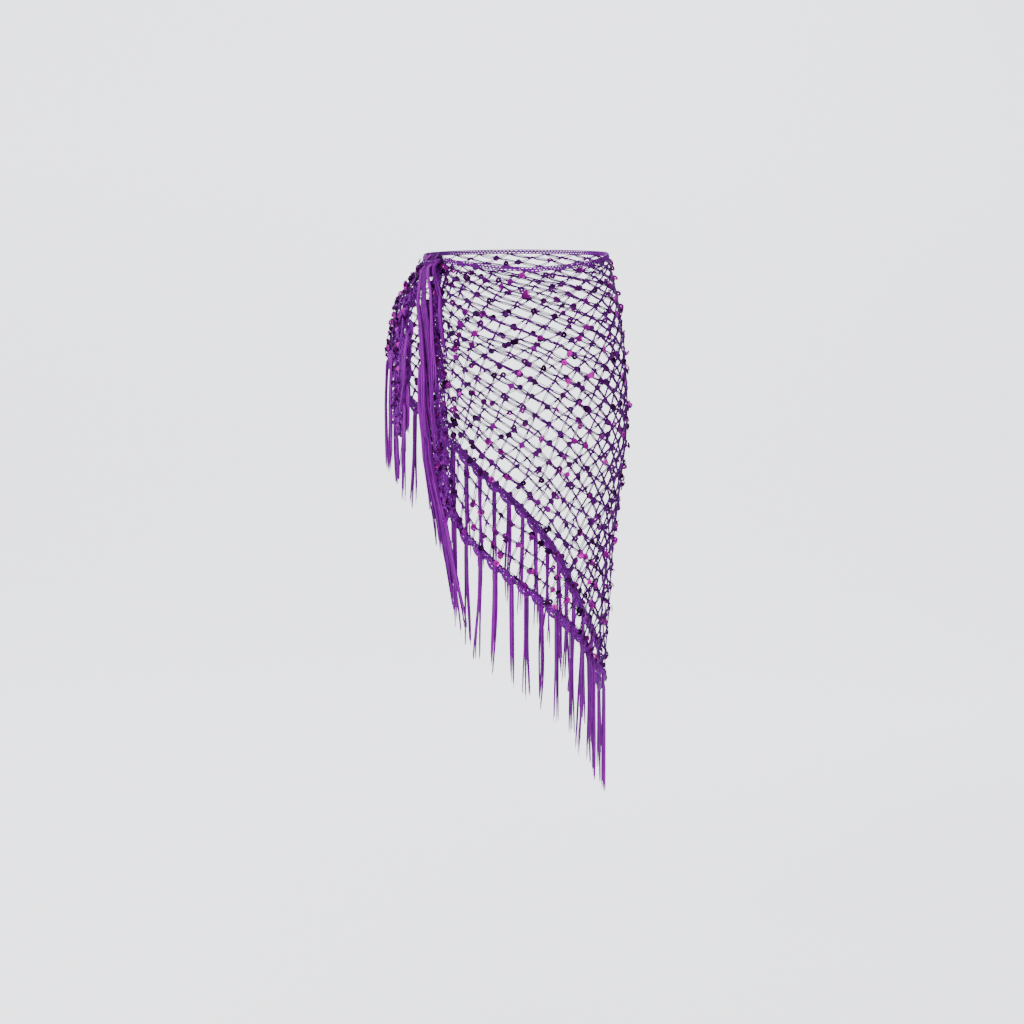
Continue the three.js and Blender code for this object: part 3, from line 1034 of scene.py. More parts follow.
    def sequins(self, material: bpy.types.Material) -> bpy.types.Object:
        """Makes the sequins that hang at more than half of the knots.

        Args:
            material: The foil finish.

        Returns:
            The new object.
        """
        centres, normals = [], []
        for number in np.nonzero(self.knotted)[0]:
            if self.random.random() > self.sequin_share:
                continue
            out, level_round = self.out[number], self.level_round[number]
            for layer in range(self.random.choice((1, 2, 3), p=self.sequin_odds)):
                tilt = self.random.normal(0, self.sequin_tilt, 3)
                spot = self.random.normal(0, self.sequin_wander, 2)
                centre = self.points[number] + out * (self.sequin_out + self.sequin_layer * layer)
                centre = centre + level_round * spot[0]
                centres.append(centre + UP * (spot[1] - self.sequin_layer * layer))
                normals.append(out + tilt)
        name = f"net_{self.half.name}_sequins"
        return SequinSet().build(name, np.array(centres), np.array(normals), material)


@dataclass
class WaistBand:
    """The crocheted top edge: chain stitches in rows round the waist, into the knot."""

    knot_sides: tuple[float, float] = (44.0, 388.0)  # angles where it goes into the knot
    tuck: float = 7.0
    length: float = 700.0
    stitch: float = 4.2
    stitch_overlap: float = 1.25
    stitch_swell: float = 1.25
    stitch_start: float = 0.15
    stitch_stations: int = 5
    stitch_out: tuple[float, float] = (0.5, 0.75)
    radius: float = 0.85
    row_heights: tuple[float, float] = (1.5, 4.6)
    # height, how far out, radius
    cords: tuple[tuple[float, float, float], ...] = (
        (0.5, 0.0, 0.8),
        (3.0, -0.4, 1.0),
        (5.6, 0.0, 0.8),
    )
    cord_stations: int = 240

    def line(self, share: Array, height: Array, out: Array) -> Array:
        """Points of the band, from one side of the knot round to the other.

        Args:
            share: Share of the way round.
            height: Height above the band's lower edge.
            out: How far out of the cloth.

        Returns:
            The points.
        """
        first, last = self.knot_sides
        angle = mix(first - self.tuck, last + self.tuck, share)
        return FIGURE.worn(angle, read(BAND_LEVELS, angle, 1) + SEAM + height, out)

    def build(self, material: bpy.types.Material) -> bpy.types.Object:
        """Makes the band's mesh.

        Args:
            material: The yarn finish.

        Returns:
            The new object.
        """
        threads = Threads(sides=6)
        count = int(self.length / self.stitch)
        stations = self.stitch_stations
        swell = np.sin(np.linspace(self.stitch_start, 1.0, stations) * math.pi)[None, :]
        middle, sway = self.stitch_out
        out = middle + sway * np.cos(np.linspace(0, 1, stations) * math.pi)[None, :]
        for row, height in enumerate(self.row_heights):
            start = (np.arange(count) + 0.5 * row) / count
            run = np.linspace(0, self.stitch_overlap, stations)[None, :] / count
            share = np.clip(start[:, None] + run, 0.0, 1.0)
            for way in (-1.0, 1.0):
                lift = way * self.stitch_swell * swell
                threads.add(self.line(share, height + lift, out), self.radius)
        share = np.linspace(0, 1, self.cord_stations)[None, :]
        for height, depth, radius in self.cords:
            threads.add(self.line(share, height, depth), radius)
        return threads.mesh("waist_band_stitches", material)


@dataclass(frozen=True)
class Edge:
    """A line along the cloth that carries an edging: points, directions, angles and levels."""

    points: Array
    out: Array
    away: Array
    angle: Array
    level: Array

    def steps(self) -> Array:
        """Distances from each point to the next."""
        return np.linalg.norm(np.diff(self.points, axis=0), axis=1)

    def length(self) -> float:
        """Its length in millimetres."""
        return float(self.steps().sum())

    def at(self, share: Array) -> "Edge":
        """Reads the line between its points.

        Args:
            share: Shares of its length.

        Returns:
            The same line at those shares.
        """
        step = self.steps()
        run = np.concatenate([[0.0], np.cumsum(step)]) / step.sum()

        def pick(values: Array) -> Array:
            """Reads one column of numbers."""
            return np.interp(share, run, values)

        def pick_all(values: Array) -> Array:
            """Reads three columns of numbers."""
            return np.stack([pick(column) for column in values.T], axis=-1)

        return Edge(
            pick_all(self.points),
            unit(pick_all(self.out)),
            unit(pick_all(self.away)),
            pick(self.angle),
            pick(self.level),
        )


def edge_of(points: Array, out: Array, angle: Array, level: Array, towards: Array) -> Edge:
    """Makes an edge whose away side is square to it and points towards a direction.

    Args:
        points: The line.
        out: Out of the cloth at each point.
        angle: Degrees round the figure.
        level: Level of the cloth there.
        towards: The side that the edging lies on.

    Returns:
        The edge.
    """
    away = unit(np.cross(np.gradient(points, axis=0), out))
    flip = np.sum(away * towards, axis=1) < 0
    away[flip] *= -1
    return Edge(points, out, away, angle, level)


def hem_edge(half: HalfCut, end: float) -> Edge:
    """The hem of one half, from its corner towards the triangle's point.

    Args:
        half: The half.
        end: Place along the half's edge where the line ends.

    Returns:
        The edge.
    """
    rows = np.linspace(half.corner, end, HEM_STATIONS)
    angle = read(half.edge, rows, 1)
    level = read(half.edge, rows, 2)
    out, _ = FIGURE.directions(angle, level)
    return edge_of(FIGURE.worn(angle, level), out, angle, level, -UP)


@dataclass
class Edging:
    """Dense crochet along an edge: rows of chain with posts between them, and scallops."""

    edge: Edge
    name: str
    width: float = 9.0
    radius: float = 1.0
    chains: int = 5
    chain_step: float = 3.0
    least_steps: int = 20
    chain_start: float = 0.8
    chain_margin: float = 1.4
    chain_beat: tuple[float, float] = (1.9, 2.3)
    chain_wave: tuple[float, float] = (0.45, 0.7)
    post: float = 3.4
    post_wander: float = 0.3
    post_bow: tuple[float, float] = (0.5, 1.1)
    post_head: float = 0.8
    post_out: tuple[float, float] = (0.3, 0.5)
    post_stations: int = 4
    least_posts: int = 8
    # shares of the width at a post's foot and head, and its lean in posts
    post_rows: tuple[tuple[float, float, float], ...] = (
        (0.05, 0.55, 0.5),
        (0.5, 0.95, -0.5),
        (0.1, 0.9, 0.9),
    )
    scallop: float = 29.0
    scallop_foot: float = 2.2
    scallop_bow: float = 1.6
    scallop_out: tuple[float, float] = (0.2, 0.4)
    scallop_stations: int = 5
    least_scallops: int = 3
    # half width as a share of a scallop, and how far it hangs down
    scallop_rows: tuple[tuple[float, float], ...] = ((0.48, 3.4), (0.36, 1.9), (0.22, 0.4))
    joins: Edge | None = None
    corner_chains: int = 6
    corner_sag: float = 0.4
    corner_ribs: tuple[float, ...] = (0.15, 0.38, 0.62, 0.85)
    corner_fill: float = 1.4
    corner_margin: float = 1.5
    corner_out: tuple[float, float] = (0.3, 0.6)
    corner_stations: tuple[int, int] = (7, 4)

    def spot(self, share: Array, reach: Array, out: Array = 0.0) -> Array:
        """Points beside the edge.

        Args:
            share: Shares of its length.
            reach: How far away from it.
            out: How far out of the cloth.

        Returns:
            The points.
        """
        there = self.edge.at(share)
        shift = np.broadcast_to(np.asarray(reach, float), share.shape)[..., None]
        lift = np.broadcast_to(np.asarray(out, float), share.shape)[..., None]
        return there.points + there.away * (SEAM + shift) + there.out * lift

    def add_chains(self, threads: Threads) -> None:
        """Adds the wavy rows of chain along the edge.

        Args:
            threads: What they are added to.
        """
        steps = max(self.least_steps, int(self.edge.length() / self.chain_step))
        share = np.linspace(0, 1, steps)
        beat, row_beat = self.chain_beat
        sideways, outwards = self.chain_wave
        rows = np.linspace(self.chain_start, self.width - self.chain_margin, self.chains)
        for number, reach in enumerate(rows):
            wave = np.sin(np.arange(steps) * beat + number * row_beat)
            path = self.spot(share, reach + wave * sideways, wave * outwards)
            threads.add(path[None], self.radius)

    def add_posts(self, threads: Threads) -> None:
        """Adds the posts that stand between the chains.

        Args:
            threads: What they are added to.
        """
        random = np.random.default_rng(len(self.name) + int(self.width))
        posts = max(self.least_posts, int(self.edge.length() / self.post))
        low_out, high_out = self.post_out
        foot = (np.arange(posts) + 0.5) / posts
        for near, far, lean in self.post_rows:
            wander = random.uniform(-self.post_wander, self.post_wander, posts) / posts
            head = np.clip(foot + lean / posts + wander, 0, 1)
            low = self.spot(foot, self.width * near, low_out)
            high = self.spot(head, self.width * far - self.post_head, high_out)
            bow = self.edge.at(foot).out * random.uniform(*self.post_bow, posts)[:, None]
            threads.add(arc(low, high, bow, self.post_stations), self.radius)

    def add_scallops(self, threads: Threads) -> None:
        """Adds the scallops, one inside the other.

        Args:
            threads: What they are added to.
        """
        peaks = max(self.least_scallops, round(self.edge.length() / self.scallop))
        low_out, high_out = self.scallop_out
        root = (np.arange(peaks) + 0.5) / peaks
        bow = self.edge.at(root).away * self.scallop_bow
        for way in (-1.0, 1.0):
            for size, drop in self.scallop_rows:
                foot = np.clip(root + way * size / peaks, 0, 1)
                low = self.spot(foot, self.width - self.scallop_foot, low_out)
                high = self.spot(root, self.width + drop, high_out)
                threads.add(arc(low, high, bow, self.scallop_stations), self.radius)

    def add_corner(self, threads: Threads, other: "Edging") -> None:
        """Carries the chains round the corner to the edging of the other side.

        Args:
            threads: What they are added to.
            other: The other side's edging, which ends at the same corner.
        """
        end = np.array([1.0])
        chain_out, rib_out = self.corner_out
        chain_stations, rib_stations = self.corner_stations
        rows = np.linspace(self.chain_start, self.width - self.chain_start, self.corner_chains)
        for reach in rows:
            bow = -UP[None] * self.corner_sag * reach
            here, there = self.spot(end, reach, chain_out), other.spot(end, reach, chain_out)
            threads.add(arc(here, there, bow, chain_stations), self.radius)
        reach = self.width - self.corner_margin
        for turn in self.corner_ribs:
            far = mix(self.spot(end, reach, rib_out), other.spot(end, reach, rib_out), turn)
            far[:, 2] -= self.corner_fill * self.width * turn * (1 - turn)
            rib = arc(self.spot(end, 0.0), far, np.zeros((1, 3)), rib_stations)
            threads.add(rib, self.radius)

    def build(self, material: bpy.types.Material) -> bpy.types.Object:
        """Makes the edging's mesh.

        Args:
            material: The yarn finish.

        Returns:
            The new object.
        """
        threads = Threads(sides=5)
        self.add_chains(threads)
        self.add_posts(threads)
        self.add_scallops(threads)
        if self.joins is not None:
            self.add_corner(threads, Edging(self.joins, self.name))
        return threads.mesh(self.name, material)


@dataclass(frozen=True)
class Hang:
    """How one tassel hangs: its root, its length, and its lane round the cloth and off it."""

    root: Array
    angle: float
    length: float
    lane: float
    layer: float


@dataclass
class Tassels:
    """Tassels along an edge: silky strands looped through it that hang side by side and split.

    Lengths run from the edge's start to its end. follows says how far the strands keep to the
    figure below the hips, and a guide is the gathered end that they lie on.
    """

    edge: Edge
    name: str
    count: int
    strands: int
    seed: int
    lengths: tuple[float, float] = (158.0, 184.0)
    lengthen_from: float = 0.4
    lengthen_rate: float = 2.0
    follows: float = 0.0
    lane_out: tuple[float, float] = (0.5, 3.5)
    lane_along: tuple[float, float] = (0.0, 0.0)
    settle: float = 0.14
    width: float = 6.6
    split: float = 5.0
    root_reach: float = 6.5
    radius: float = 0.85
    head: float = 7.0
    ordered: bool = False
    guide: "GatheredEnd | None" = None
    # share down the strand, its thickness there, and the tassel's width there
    stops: tuple[float, ...] = (0.0, 0.03, 0.07, 0.14, 0.26, 0.4, 0.55, 0.7, 0.85, 1.0)
    taper: tuple[float, ...] = (0.9, 1, 1, 1, 1, 1, 1, 0.95, 0.8, 0.4)
    narrowing: tuple[tuple[float, float], ...] = ((0, 0.7), (0.05, 0.8), (0.3, 0.85), (1, 0.45))
    locks: int = 3
    lock_ends: tuple[float, float] = (0.84, 0.97)
    lock_start: float = 0.3
    lock_settle: float = 0.8
    end_wander: float = 0.03
    sway: float = 1.6
    sway_waves: float = 5.0
    sway_out: float = 0.8
    sweep: float = 3.2
    sweep_power: float = 1.5
    side_wander: float = 0.25
    depth_wander: float = 0.3
    depth_settle: float = 0.08
    strand_layers: tuple[float, float] = (-0.4, 1.1)
    tie_out: float = 0.75
    tie_width: float = 0.52
    tie_depth: float = 1.9
    tie_dip: float = 1.6
    tie_radius: float = 0.95
    tie_stations: int = 9

    def drift(self, top: float, level: Array) -> tuple[Array, Array]:
        """How far the guide leads a strand round the figure.

        Args:
            top: Level of the strand's root.
            level: Levels down the strand.

        Returns:
            The turn in degrees, and the rest in millimetres.
        """
        if self.guide is None:
            return np.zeros(len(level)), np.zeros(len(level))
        turned = self.guide.inner_line(level) - self.guide.inner_line(top)
        return turned, np.maximum(self.guide.width(top) - self.guide.width(level), 0.0)

    def hang(self, hang: Hang, random: np.random.Generator) -> Array:
        """The strands of one tassel.

        Args:
            hang: How it hangs.
            random: Where its chances come from.

        Returns:
            Points, as strands by stations by 3.
        """
        clumps = np.sort(random.uniform(-1, 1, self.locks)) * self.split
        ends = random.uniform(*self.lock_ends, self.locks)
        sway, sweep = random.normal(0, self.sway), random.normal(0, self.sweep)
        stops, top = np.array(self.stops), hang.root[2]
        narrow = read(self.narrowing, stops, 1)
        settled = smooth(stops / self.settle)
        parted = smooth((stops - self.lock_start) / self.lock_settle)
        paths = []
        for strand in range(self.strands):
            spot = strand / (self.strands - 1)
            lock = min(self.locks - 1, int(spot * self.locks))
            reach = hang.length * (ends[lock] + random.uniform(-self.end_wander, self.end_wander))
            z = top - reach * stops
            level = mix(np.maximum(z, min(top, HIP_LEVEL)), z, self.follows)
            turned, narrowed = self.drift(top, level)
            shift = FIGURE.worn(hang.angle + turned, level, 0.0, narrowed)
            shift = shift - FIGURE.worn(hang.angle, top)
            side = (spot - 0.5) * self.width * narrow + hang.lane * settled
            side = side + clumps[lock] * parted + sweep * stops**self.sweep_power
            side = side + sway * np.sin(stops * self.sway_waves + lock) * stops
            side = side + random.normal(0, self.side_wander)
            depth = hang.layer * smooth(stops / self.depth_settle) + self.strand_layers[strand % 2]
            depth = depth + random.normal(0, self.depth_wander) + sway * stops * self.sway_out
            off, along = FIGURE.directions(hang.angle + turned, level)
            path = hang.root + shift + side[:, None] * along + depth[:, None] * off
            path[:, 2] = z
            paths.append(path)
        return np.array(paths)

    def tie(self, threads: Threads, centre: Array, out: Array, level_round: Array) -> None:
        """Adds the loop that goes round a tassel's strands just under the edge.

        Args:
            threads: What it is added to.
            centre: The loop's middle.
            out: Unit direction out of the cloth.
            level_round: Unit direction along the cloth.
        """
        turn = np.linspace(0, math.tau, self.tie_stations)[:, None]
        ring = centre + self.width * self.tie_width * np.cos(turn) * level_round
        ring = ring + self.tie_depth * np.sin(turn) * out
        ring = ring + UP * self.tie_dip * np.cos(turn) ** 2
        threads.add(ring[None], self.tie_radius)

    def build(self, material: bpy.types.Material) -> bpy.types.Object:
        """Makes the mesh of all the tassels on the edge.

        Args:
            material: The yarn finish.

        Returns:
            The new object.
        """
        random = np.random.default_rng(self.seed)
        threads = Threads(sides=5)
        shares = (np.arange(self.count) + 0.5) / self.count
        roots = self.edge.at(shares)
        out, level_round = FIGURE.directions(roots.angle, roots.level)
        taper = self.radius * np.array(self.taper)
        for number, share in enumerate(shares):
            longer = float(smooth((share - self.lengthen_from) * self.lengthen_rate))
            hang = Hang(
                root=roots.points[number] + roots.away[number] * (SEAM + self.root_reach),
                angle=roots.angle[number],
                length=mix(*self.lengths, longer),
                lane=mix(*self.lane_along, share if self.ordered else random.random()),
                layer=random.uniform(*self.lane_out),
            )
            threads.add(self.hang(hang, random), taper)
            centre = hang.root + out[number] * hang.layer * self.tie_out - UP * self.head
            self.tie(threads, centre, out[number], level_round[number])
        return threads.mesh(self.name, material)


@dataclass(frozen=True)
class CrochetLump:
    """Sizes of the knots that the gathering brings close together: two legs and a cap."""

    top: float = -12.0
    margin: float = 2.0
    shares: tuple[float, float] = (0.04, 0.96)
    out: tuple[float, float] = (0.2, 2.2)
    leg_side: tuple[float, float] = (1.2, 3.6)
    leg_drop: tuple[float, float] = (3.0, 6.5)
    leg_out: float = 0.6
    leg_radii: Row = (1.35, 1.3, 0.8)
    elbow: float = 0.45
    elbow_out: float = 1.3
    cap_top: float = 2.4
    cap_low: float = 0.8
    cap_out: float = 0.9
    cap_radii: Row = (0.9, 1.7)


@dataclass
class GatheredEnd:
    """The end of the net below the knot, drawn together in pleats and dense with thread."""

    half: HalfCut
    top: float = -6.0
    pleats: int = 2
    pleat_depth: float = 5.0
    pleat_fit: float = 0.0105
    swell_depth: float = 60.0
    columns: int = 9
    row_step: float = 8.5
    layers: int = 2
    layer_gap: float = 1.6
    loop_radius: float = 0.62
    loop_stations: int = 4
    loop_wander: tuple[float, float, float] = (0.5, 0.3, 0.5)
    runs: int = 8
    run_radius: float = 0.8
    run_stations: int = 46
    run_shares: tuple[float, float] = (0.02, 0.98)
    # size of a wave, its span in millimetres, and its shift from run to run
    run_waves: tuple[tuple[float, float, float], ...] = ((0.11, 9.0, 2.1), (0.06, 23.0, 1.0))
    run_lift: tuple[float, float, float] = (1.3, 7.0, 1.7)
    lump: CrochetLump = CrochetLump()
    lump_density: float = 0.9
    sequin_gap: float = 3.8
    sequin_top: float = -30.0
    sequin_margin: float = 4.0
    sequin_shares: tuple[float, float] = (0.05, 0.95)
    sequin_out: tuple[float, float] = (1.6, 3.4)
    sequin_tilt: float = 0.5
    side_stations: int = 50
    foot_stations: int = 6
    foot_shares: tuple[float, float] = (0.85, 0.1)
    droop: float = 0.4

    @property
    def seed(self) -> int:
        """The start of its own chances."""
        return self.half.seed + 3

    def inner_line(self, level: Array) -> Array:
        """Reads the end's inner line.

        Args:
            level: Levels in millimetres.

        Returns:
            The line's angle at each level.
        """
        edge = [(z, angle) for _, angle, z in self.half.edge if z >= self.corner_level()]
        return read(edge + list(self.half.tail_below), level, 1)

    def corner_level(self) -> float:
        """The level where the hem starts."""
        return next(z for place, _, z in self.half.edge if place == self.half.corner)

    def lowest(self) -> float:
        """The level where the end stops."""
        return min([z for z, _ in self.half.tail_below] or [self.corner_level() + 1.0])

    def width(self, level: Array) -> Array:
        """The end's width at each level."""
        return read(self.half.tail_widths, level, 1)

    def point(self, level: Array, share: Array, lift: Array = 0.0) -> Array:
        """Points of the pleated end.

        Args:
            level: Levels in millimetres.
            share: Share across the end, from the net's edge.
            lift: How far off the pleated surface.

        Returns:
            The points.
        """
        width = self.width(level)
        depth = np.minimum(self.pleat_depth, self.pleat_fit * width**2)
        pleat = depth * (1 - np.cos(share * self.pleats * math.tau)) / 2
        down = smooth(-level / self.swell_depth)
        swell = self.half.tail_swell * np.sin(share * math.pi) * down
        along = self.half.turn * (SEAM + width * share)
        return FIGURE.worn(self.inner_line(level), level, pleat + swell + lift, along)

    def outer_edge(self) -> Edge:
        """The end's outer edge and its foot, which carry its edging.

        Returns:
            The edge.
        """
        low, side, foot = self.lowest(), self.side_stations, self.foot_stations
        level = np.append(np.linspace(self.half.tail_edging_top, low, side), np.full(foot, low))
        share = np.append(np.ones(side), np.linspace(*self.foot_shares, foot))
        angle = self.inner_line(level)
        out, level_round = FIGURE.directions(angle, level)
        towards = level_round * self.half.turn - UP * self.droop
        return edge_of(self.point(level, share), out, angle, level, towards)

    def loop_ends(self, layer: int, way: int) -> tuple[Array, Array]:
        """Where the loops of one layer and direction start and end.

        Args:
            layer: 0 or 1, set half a column apart.
            way: -1 for loops that lean to the net's edge, and 1 for those that lean away.

        Returns:
            Levels and shares across, for the starts and for the ends.
        """
        low = self.lowest()
        rows = int((self.top - low) / self.row_step)
        starts, ends = [], []
        for row in range(rows):
            for column in range(self.columns + 1):
                share = (column + 0.5 * ((row + layer) % 2)) / self.columns
                other = share + way * 0.5 / self.columns
                if 0 <= share <= 1 and 0 <= other <= 1:
                    starts.append((self.top + (low - self.top) * row / rows, share))
                    ends.append((self.top + (low - self.top) * (row + 1) / rows, other))
        return np.array(starts).T, np.array(ends).T

    def add_loops(self, threads: Threads, random: np.random.Generator) -> None:
        """Adds the crowded loops of the net, in layers.

        Args:
            threads: What they are added to.
            random: Where their chances come from.
        """
        start_wander, end_wander, bow_wander = self.loop_wander
        for layer in range(self.layers):
            for way in (-1, 1):
                starts, ends = self.loop_ends(layer, way)
                count = starts.shape[1]
                lift = (layer - 0.5) * self.layer_gap + random.normal(0, start_wander, count)
                start = self.point(*starts, lift)
                end = self.point(*ends, lift + random.normal(0, end_wander, count))
                bow = random.normal(0, bow_wander, (count, 3))
                threads.add(arc(start, end, bow, self.loop_stations), self.loop_radius)

    def add_runs(self, threads: Threads) -> None:
        """Adds the threads that wander down the whole end.

        Args:
            threads: What they are added to.
        """
        level = np.linspace(self.top, self.lowest(), self.run_stations)
        for run in range(self.runs):
            *waves, lift = (
                size * np.sin(level / span + run * shift)
                for size, span, shift in (*self.run_waves, self.run_lift)
            )
            share = np.clip((run + 0.5) / self.runs + sum(waves), *self.run_shares)
            threads.add(self.point(level, share, lift)[None], self.run_radius)

    def add_lumps(self, threads: Threads, random: np.random.Generator) -> None:
        """Adds the crochet knots, which the gathering brings close together.

        Args:
            threads: What they are added to.
            random: Where their chances come from.
        """
        lump = self.lump
        count = int(-self.lowest() * self.lump_density)
        level = random.uniform(self.lowest() + lump.margin, lump.top, count)
        share = random.uniform(*lump.shares, count)
        centre = self.point(level, share, random.uniform(*lump.out, count))
        out, level_round = FIGURE.directions(self.inner_line(level), level)
        for way in (-1.0, 1.0):
            foot = centre + level_round * way * random.uniform(*lump.leg_side, count)[:, None]
            foot[:, 2] -= random.uniform(*lump.leg_drop, count)
            elbow = mix(centre, foot, lump.elbow) + out * lump.elbow_out
            leg = np.stack([centre + out * lump.leg_out, elbow, foot], axis=1)
            threads.add(leg, lump.leg_radii)
        low = centre + out * lump.cap_out - UP * lump.cap_low
        threads.add(np.stack([centre + UP * lump.cap_top, low], axis=1), lump.cap_radii)

    def build(self, material: bpy.types.Material) -> bpy.types.Object:
        """Makes the mesh of the gathered net.

        Args:
            material: The yarn finish.

        Returns:
            The new object.
        """
        random = np.random.default_rng(self.seed)
        threads = Threads(sides=5)
        self.add_loops(threads, random)
        self.add_runs(threads)
        self.add_lumps(threads, random)
        return threads.mesh(f"tail_{self.half.name}_threads", material)

    def sequins(self, material: bpy.types.Material) -> bpy.types.Object:
        """Makes the sequins that show among the pleats.

        Args:
            material: The foil finish.

        Returns:
            The new object.
        """
        random = np.random.default_rng(self.seed + 7)
        count = int(-self.lowest() / self.sequin_gap)
        level = random.uniform(self.lowest() + self.sequin_margin, self.sequin_top, count)
        share = random.uniform(*self.sequin_shares, count)
        centres = self.point(level, share, random.uniform(*self.sequin_out, count))
        out, _ = FIGURE.directions(self.inner_line(level), level)
        normals = out + random.normal(0, self.sequin_tilt, (count, 3))
        return SequinSet().build(f"tail_{self.half.name}_sequins", centres, normals, material)


@dataclass
class Knot:
    """The two ends tied together at the hip: turns of gathered net drawn tight."""

    angle: float = 36.0
    level: float = -5.0
    out: float = 4.0
    half: float = 13.0
    deep: float = 9.0
    high: float = 18.0
    seed: int = 41
    stations: int = 41
    turns: int = 22
    turn_radius: float = 1.3
    turn_sizes: tuple[float, float] = (0.9, 1.02)
    turn_inset: tuple[float, float] = (1.6, 1.4)
    turn_slope: float = 0.5
    slope_beat: float = 0.7
    slope_wander: float = 0.1
    stack: float = 0.86
    roundness: float = 0.08
    crimps: int = 9
    crimp: float = 0.07
    crimp_beat: float = 2.2
    crimp_lift: float = 0.7
    wraps: int = 7
    wrap_gap: float = 1.7
    wrap_radius: float = 1.25
    wrap_inset: tuple[float, float] = (2.6, 0.3)
    wrap_tilt: float = 0.5
    wrap_fan: float = 0.16
    wrap_lean: float = 0.4
    wrap_crimps: int = 8
    wrap_crimp: float = 0.5
    sequin_count: int = 9
    sequin_angles: tuple[float, float] = (-5.0, 5.0)
    sequin_levels: tuple[float, float] = (-15.0, 14.0)
    sequin_depths: tuple[float, float] = (0.72, 1.0)
    sequin_tilt: float = 0.4
    line_stations: int = 12
    line_reach: tuple[float, float] = (-4.5, 6.5)
    line_rise: float = 15.0
    line_out: float = 7.0

    def frame(self) -> tuple[Array, Array, Array, Array]:
        """The knot's own axes.

        Returns:
            Its middle, and unit directions out of the cloth, along it and up it.
        """
        centre = FIGURE.worn(self.angle, self.level, self.out)
        out, level_round = FIGURE.directions(np.float64(self.angle), np.float64(self.level))
        up = np.cross(out, level_round)
        return centre, out, level_round, up if up[2] > 0 else -up

    def add_turns(self, threads: Threads, random: np.random.Generator) -> None:
        """Adds the turns of crimped yarn one above the other.

        Args:
            threads: What they are added to.
            random: Where their chances come from.
        """
        centre, out, level_round, up = self.frame()
        turn = np.linspace(0, math.tau, self.stations)[:, None]
        half, deep = self.half - self.turn_inset[0], self.deep - self.turn_inset[1]
        for number in range(self.turns):
            share = (number + 0.5) / self.turns * 2 - 1
            size = math.sqrt(max(self.roundness, 1 - share * share))
            size = size * random.uniform(*self.turn_sizes)
            crimps = np.sin(turn * self.crimps + number * self.crimp_beat)
            size = size * (1 + self.crimp * crimps)
            slope = self.turn_slope * math.sin(number * self.slope_beat)
            slope = slope + random.normal(0, self.slope_wander)
            ring = centre + up * share * self.high * self.stack
            ring = ring + half * size * np.cos(turn) * level_round
            ring = ring + deep * size * np.sin(turn) * out
            lift = np.cos(turn) * slope * self.half * 0.5
            lift = lift + self.crimp_lift * np.sin(turn * self.crimps)
            threads.add((ring + up * lift)[None], self.turn_radius)

    def add_wraps(self, threads: Threads) -> None:
        """Adds the yarns that wrap the turns from top to bottom.

        Args:
            threads: What they are added to.
        """
        centre, out, level_round, up = self.frame()
        turn = np.linspace(0, math.tau, self.stations)[:, None]
        high, deep = self.high - self.wrap_inset[0], self.deep - self.wrap_inset[1]
        for number in range(self.wraps):
            tilt = number * self.wrap_fan - self.wrap_tilt
            way = up * math.cos(tilt) + level_round * math.sin(tilt) * self.wrap_lean
            depth = deep + self.wrap_crimp * np.sin(turn * self.wrap_crimps + number)
            ring = centre + level_round * (number - self.wraps // 2) * self.wrap_gap
            ring = ring + high * np.cos(turn) * way
            threads.add((ring + depth * np.sin(turn) * out)[None], self.wrap_radius)

    def build(self, material: bpy.types.Material) -> bpy.types.Object:
        """Makes the knot's mesh.

        Args:
            material: The yarn finish.

        Returns:
            The new object.
        """
        threads = Threads(sides=7)
        self.add_turns(threads, np.random.default_rng(self.seed))
        self.add_wraps(threads)
        return threads.mesh("knot_turns", material)

    def sequins(self, material: bpy.types.Material) -> bpy.types.Object:
        """Makes the sequins that the turns catch.

        Args:
            material: The foil finish.

        Returns:
            The new object.
        """
        random = np.random.default_rng(self.seed + 1)
        count = self.sequin_count
        angle = self.angle + random.uniform(*self.sequin_angles, count)
        level = self.level + random.uniform(*self.sequin_levels, count)
        depth = self.out + self.deep * random.uniform(*self.sequin_depths, count)
        centres = FIGURE.worn(angle, level, depth)
        out, _ = FIGURE.directions(angle, level)
        normals = out + random.normal(0, self.sequin_tilt, (count, 3))
        return SequinSet().build("knot_sequins", centres, normals, material)

    def front_line(self) -> Edge:
        """The line over the turns where the strands of the tied ends come out.

        Returns:
            The line, as an edge.
        """
        first, last = self.line_reach
        angle = np.linspace(self.angle + first, self.angle + last, self.line_stations)
        level = np.full(self.line_stations, self.level + self.line_rise)
        out, _ = FIGURE.directions(angle, level)
        points = FIGURE.worn(angle, level, self.out + self.line_out)
        return edge_of(points, out, angle, level, -UP)


@dataclass(frozen=True)
class Lamp:
    """A soft square light: its place and size in metres, and its power in watts."""

    name: str
    place: tuple[float, float, float]
    size: float
    power: float


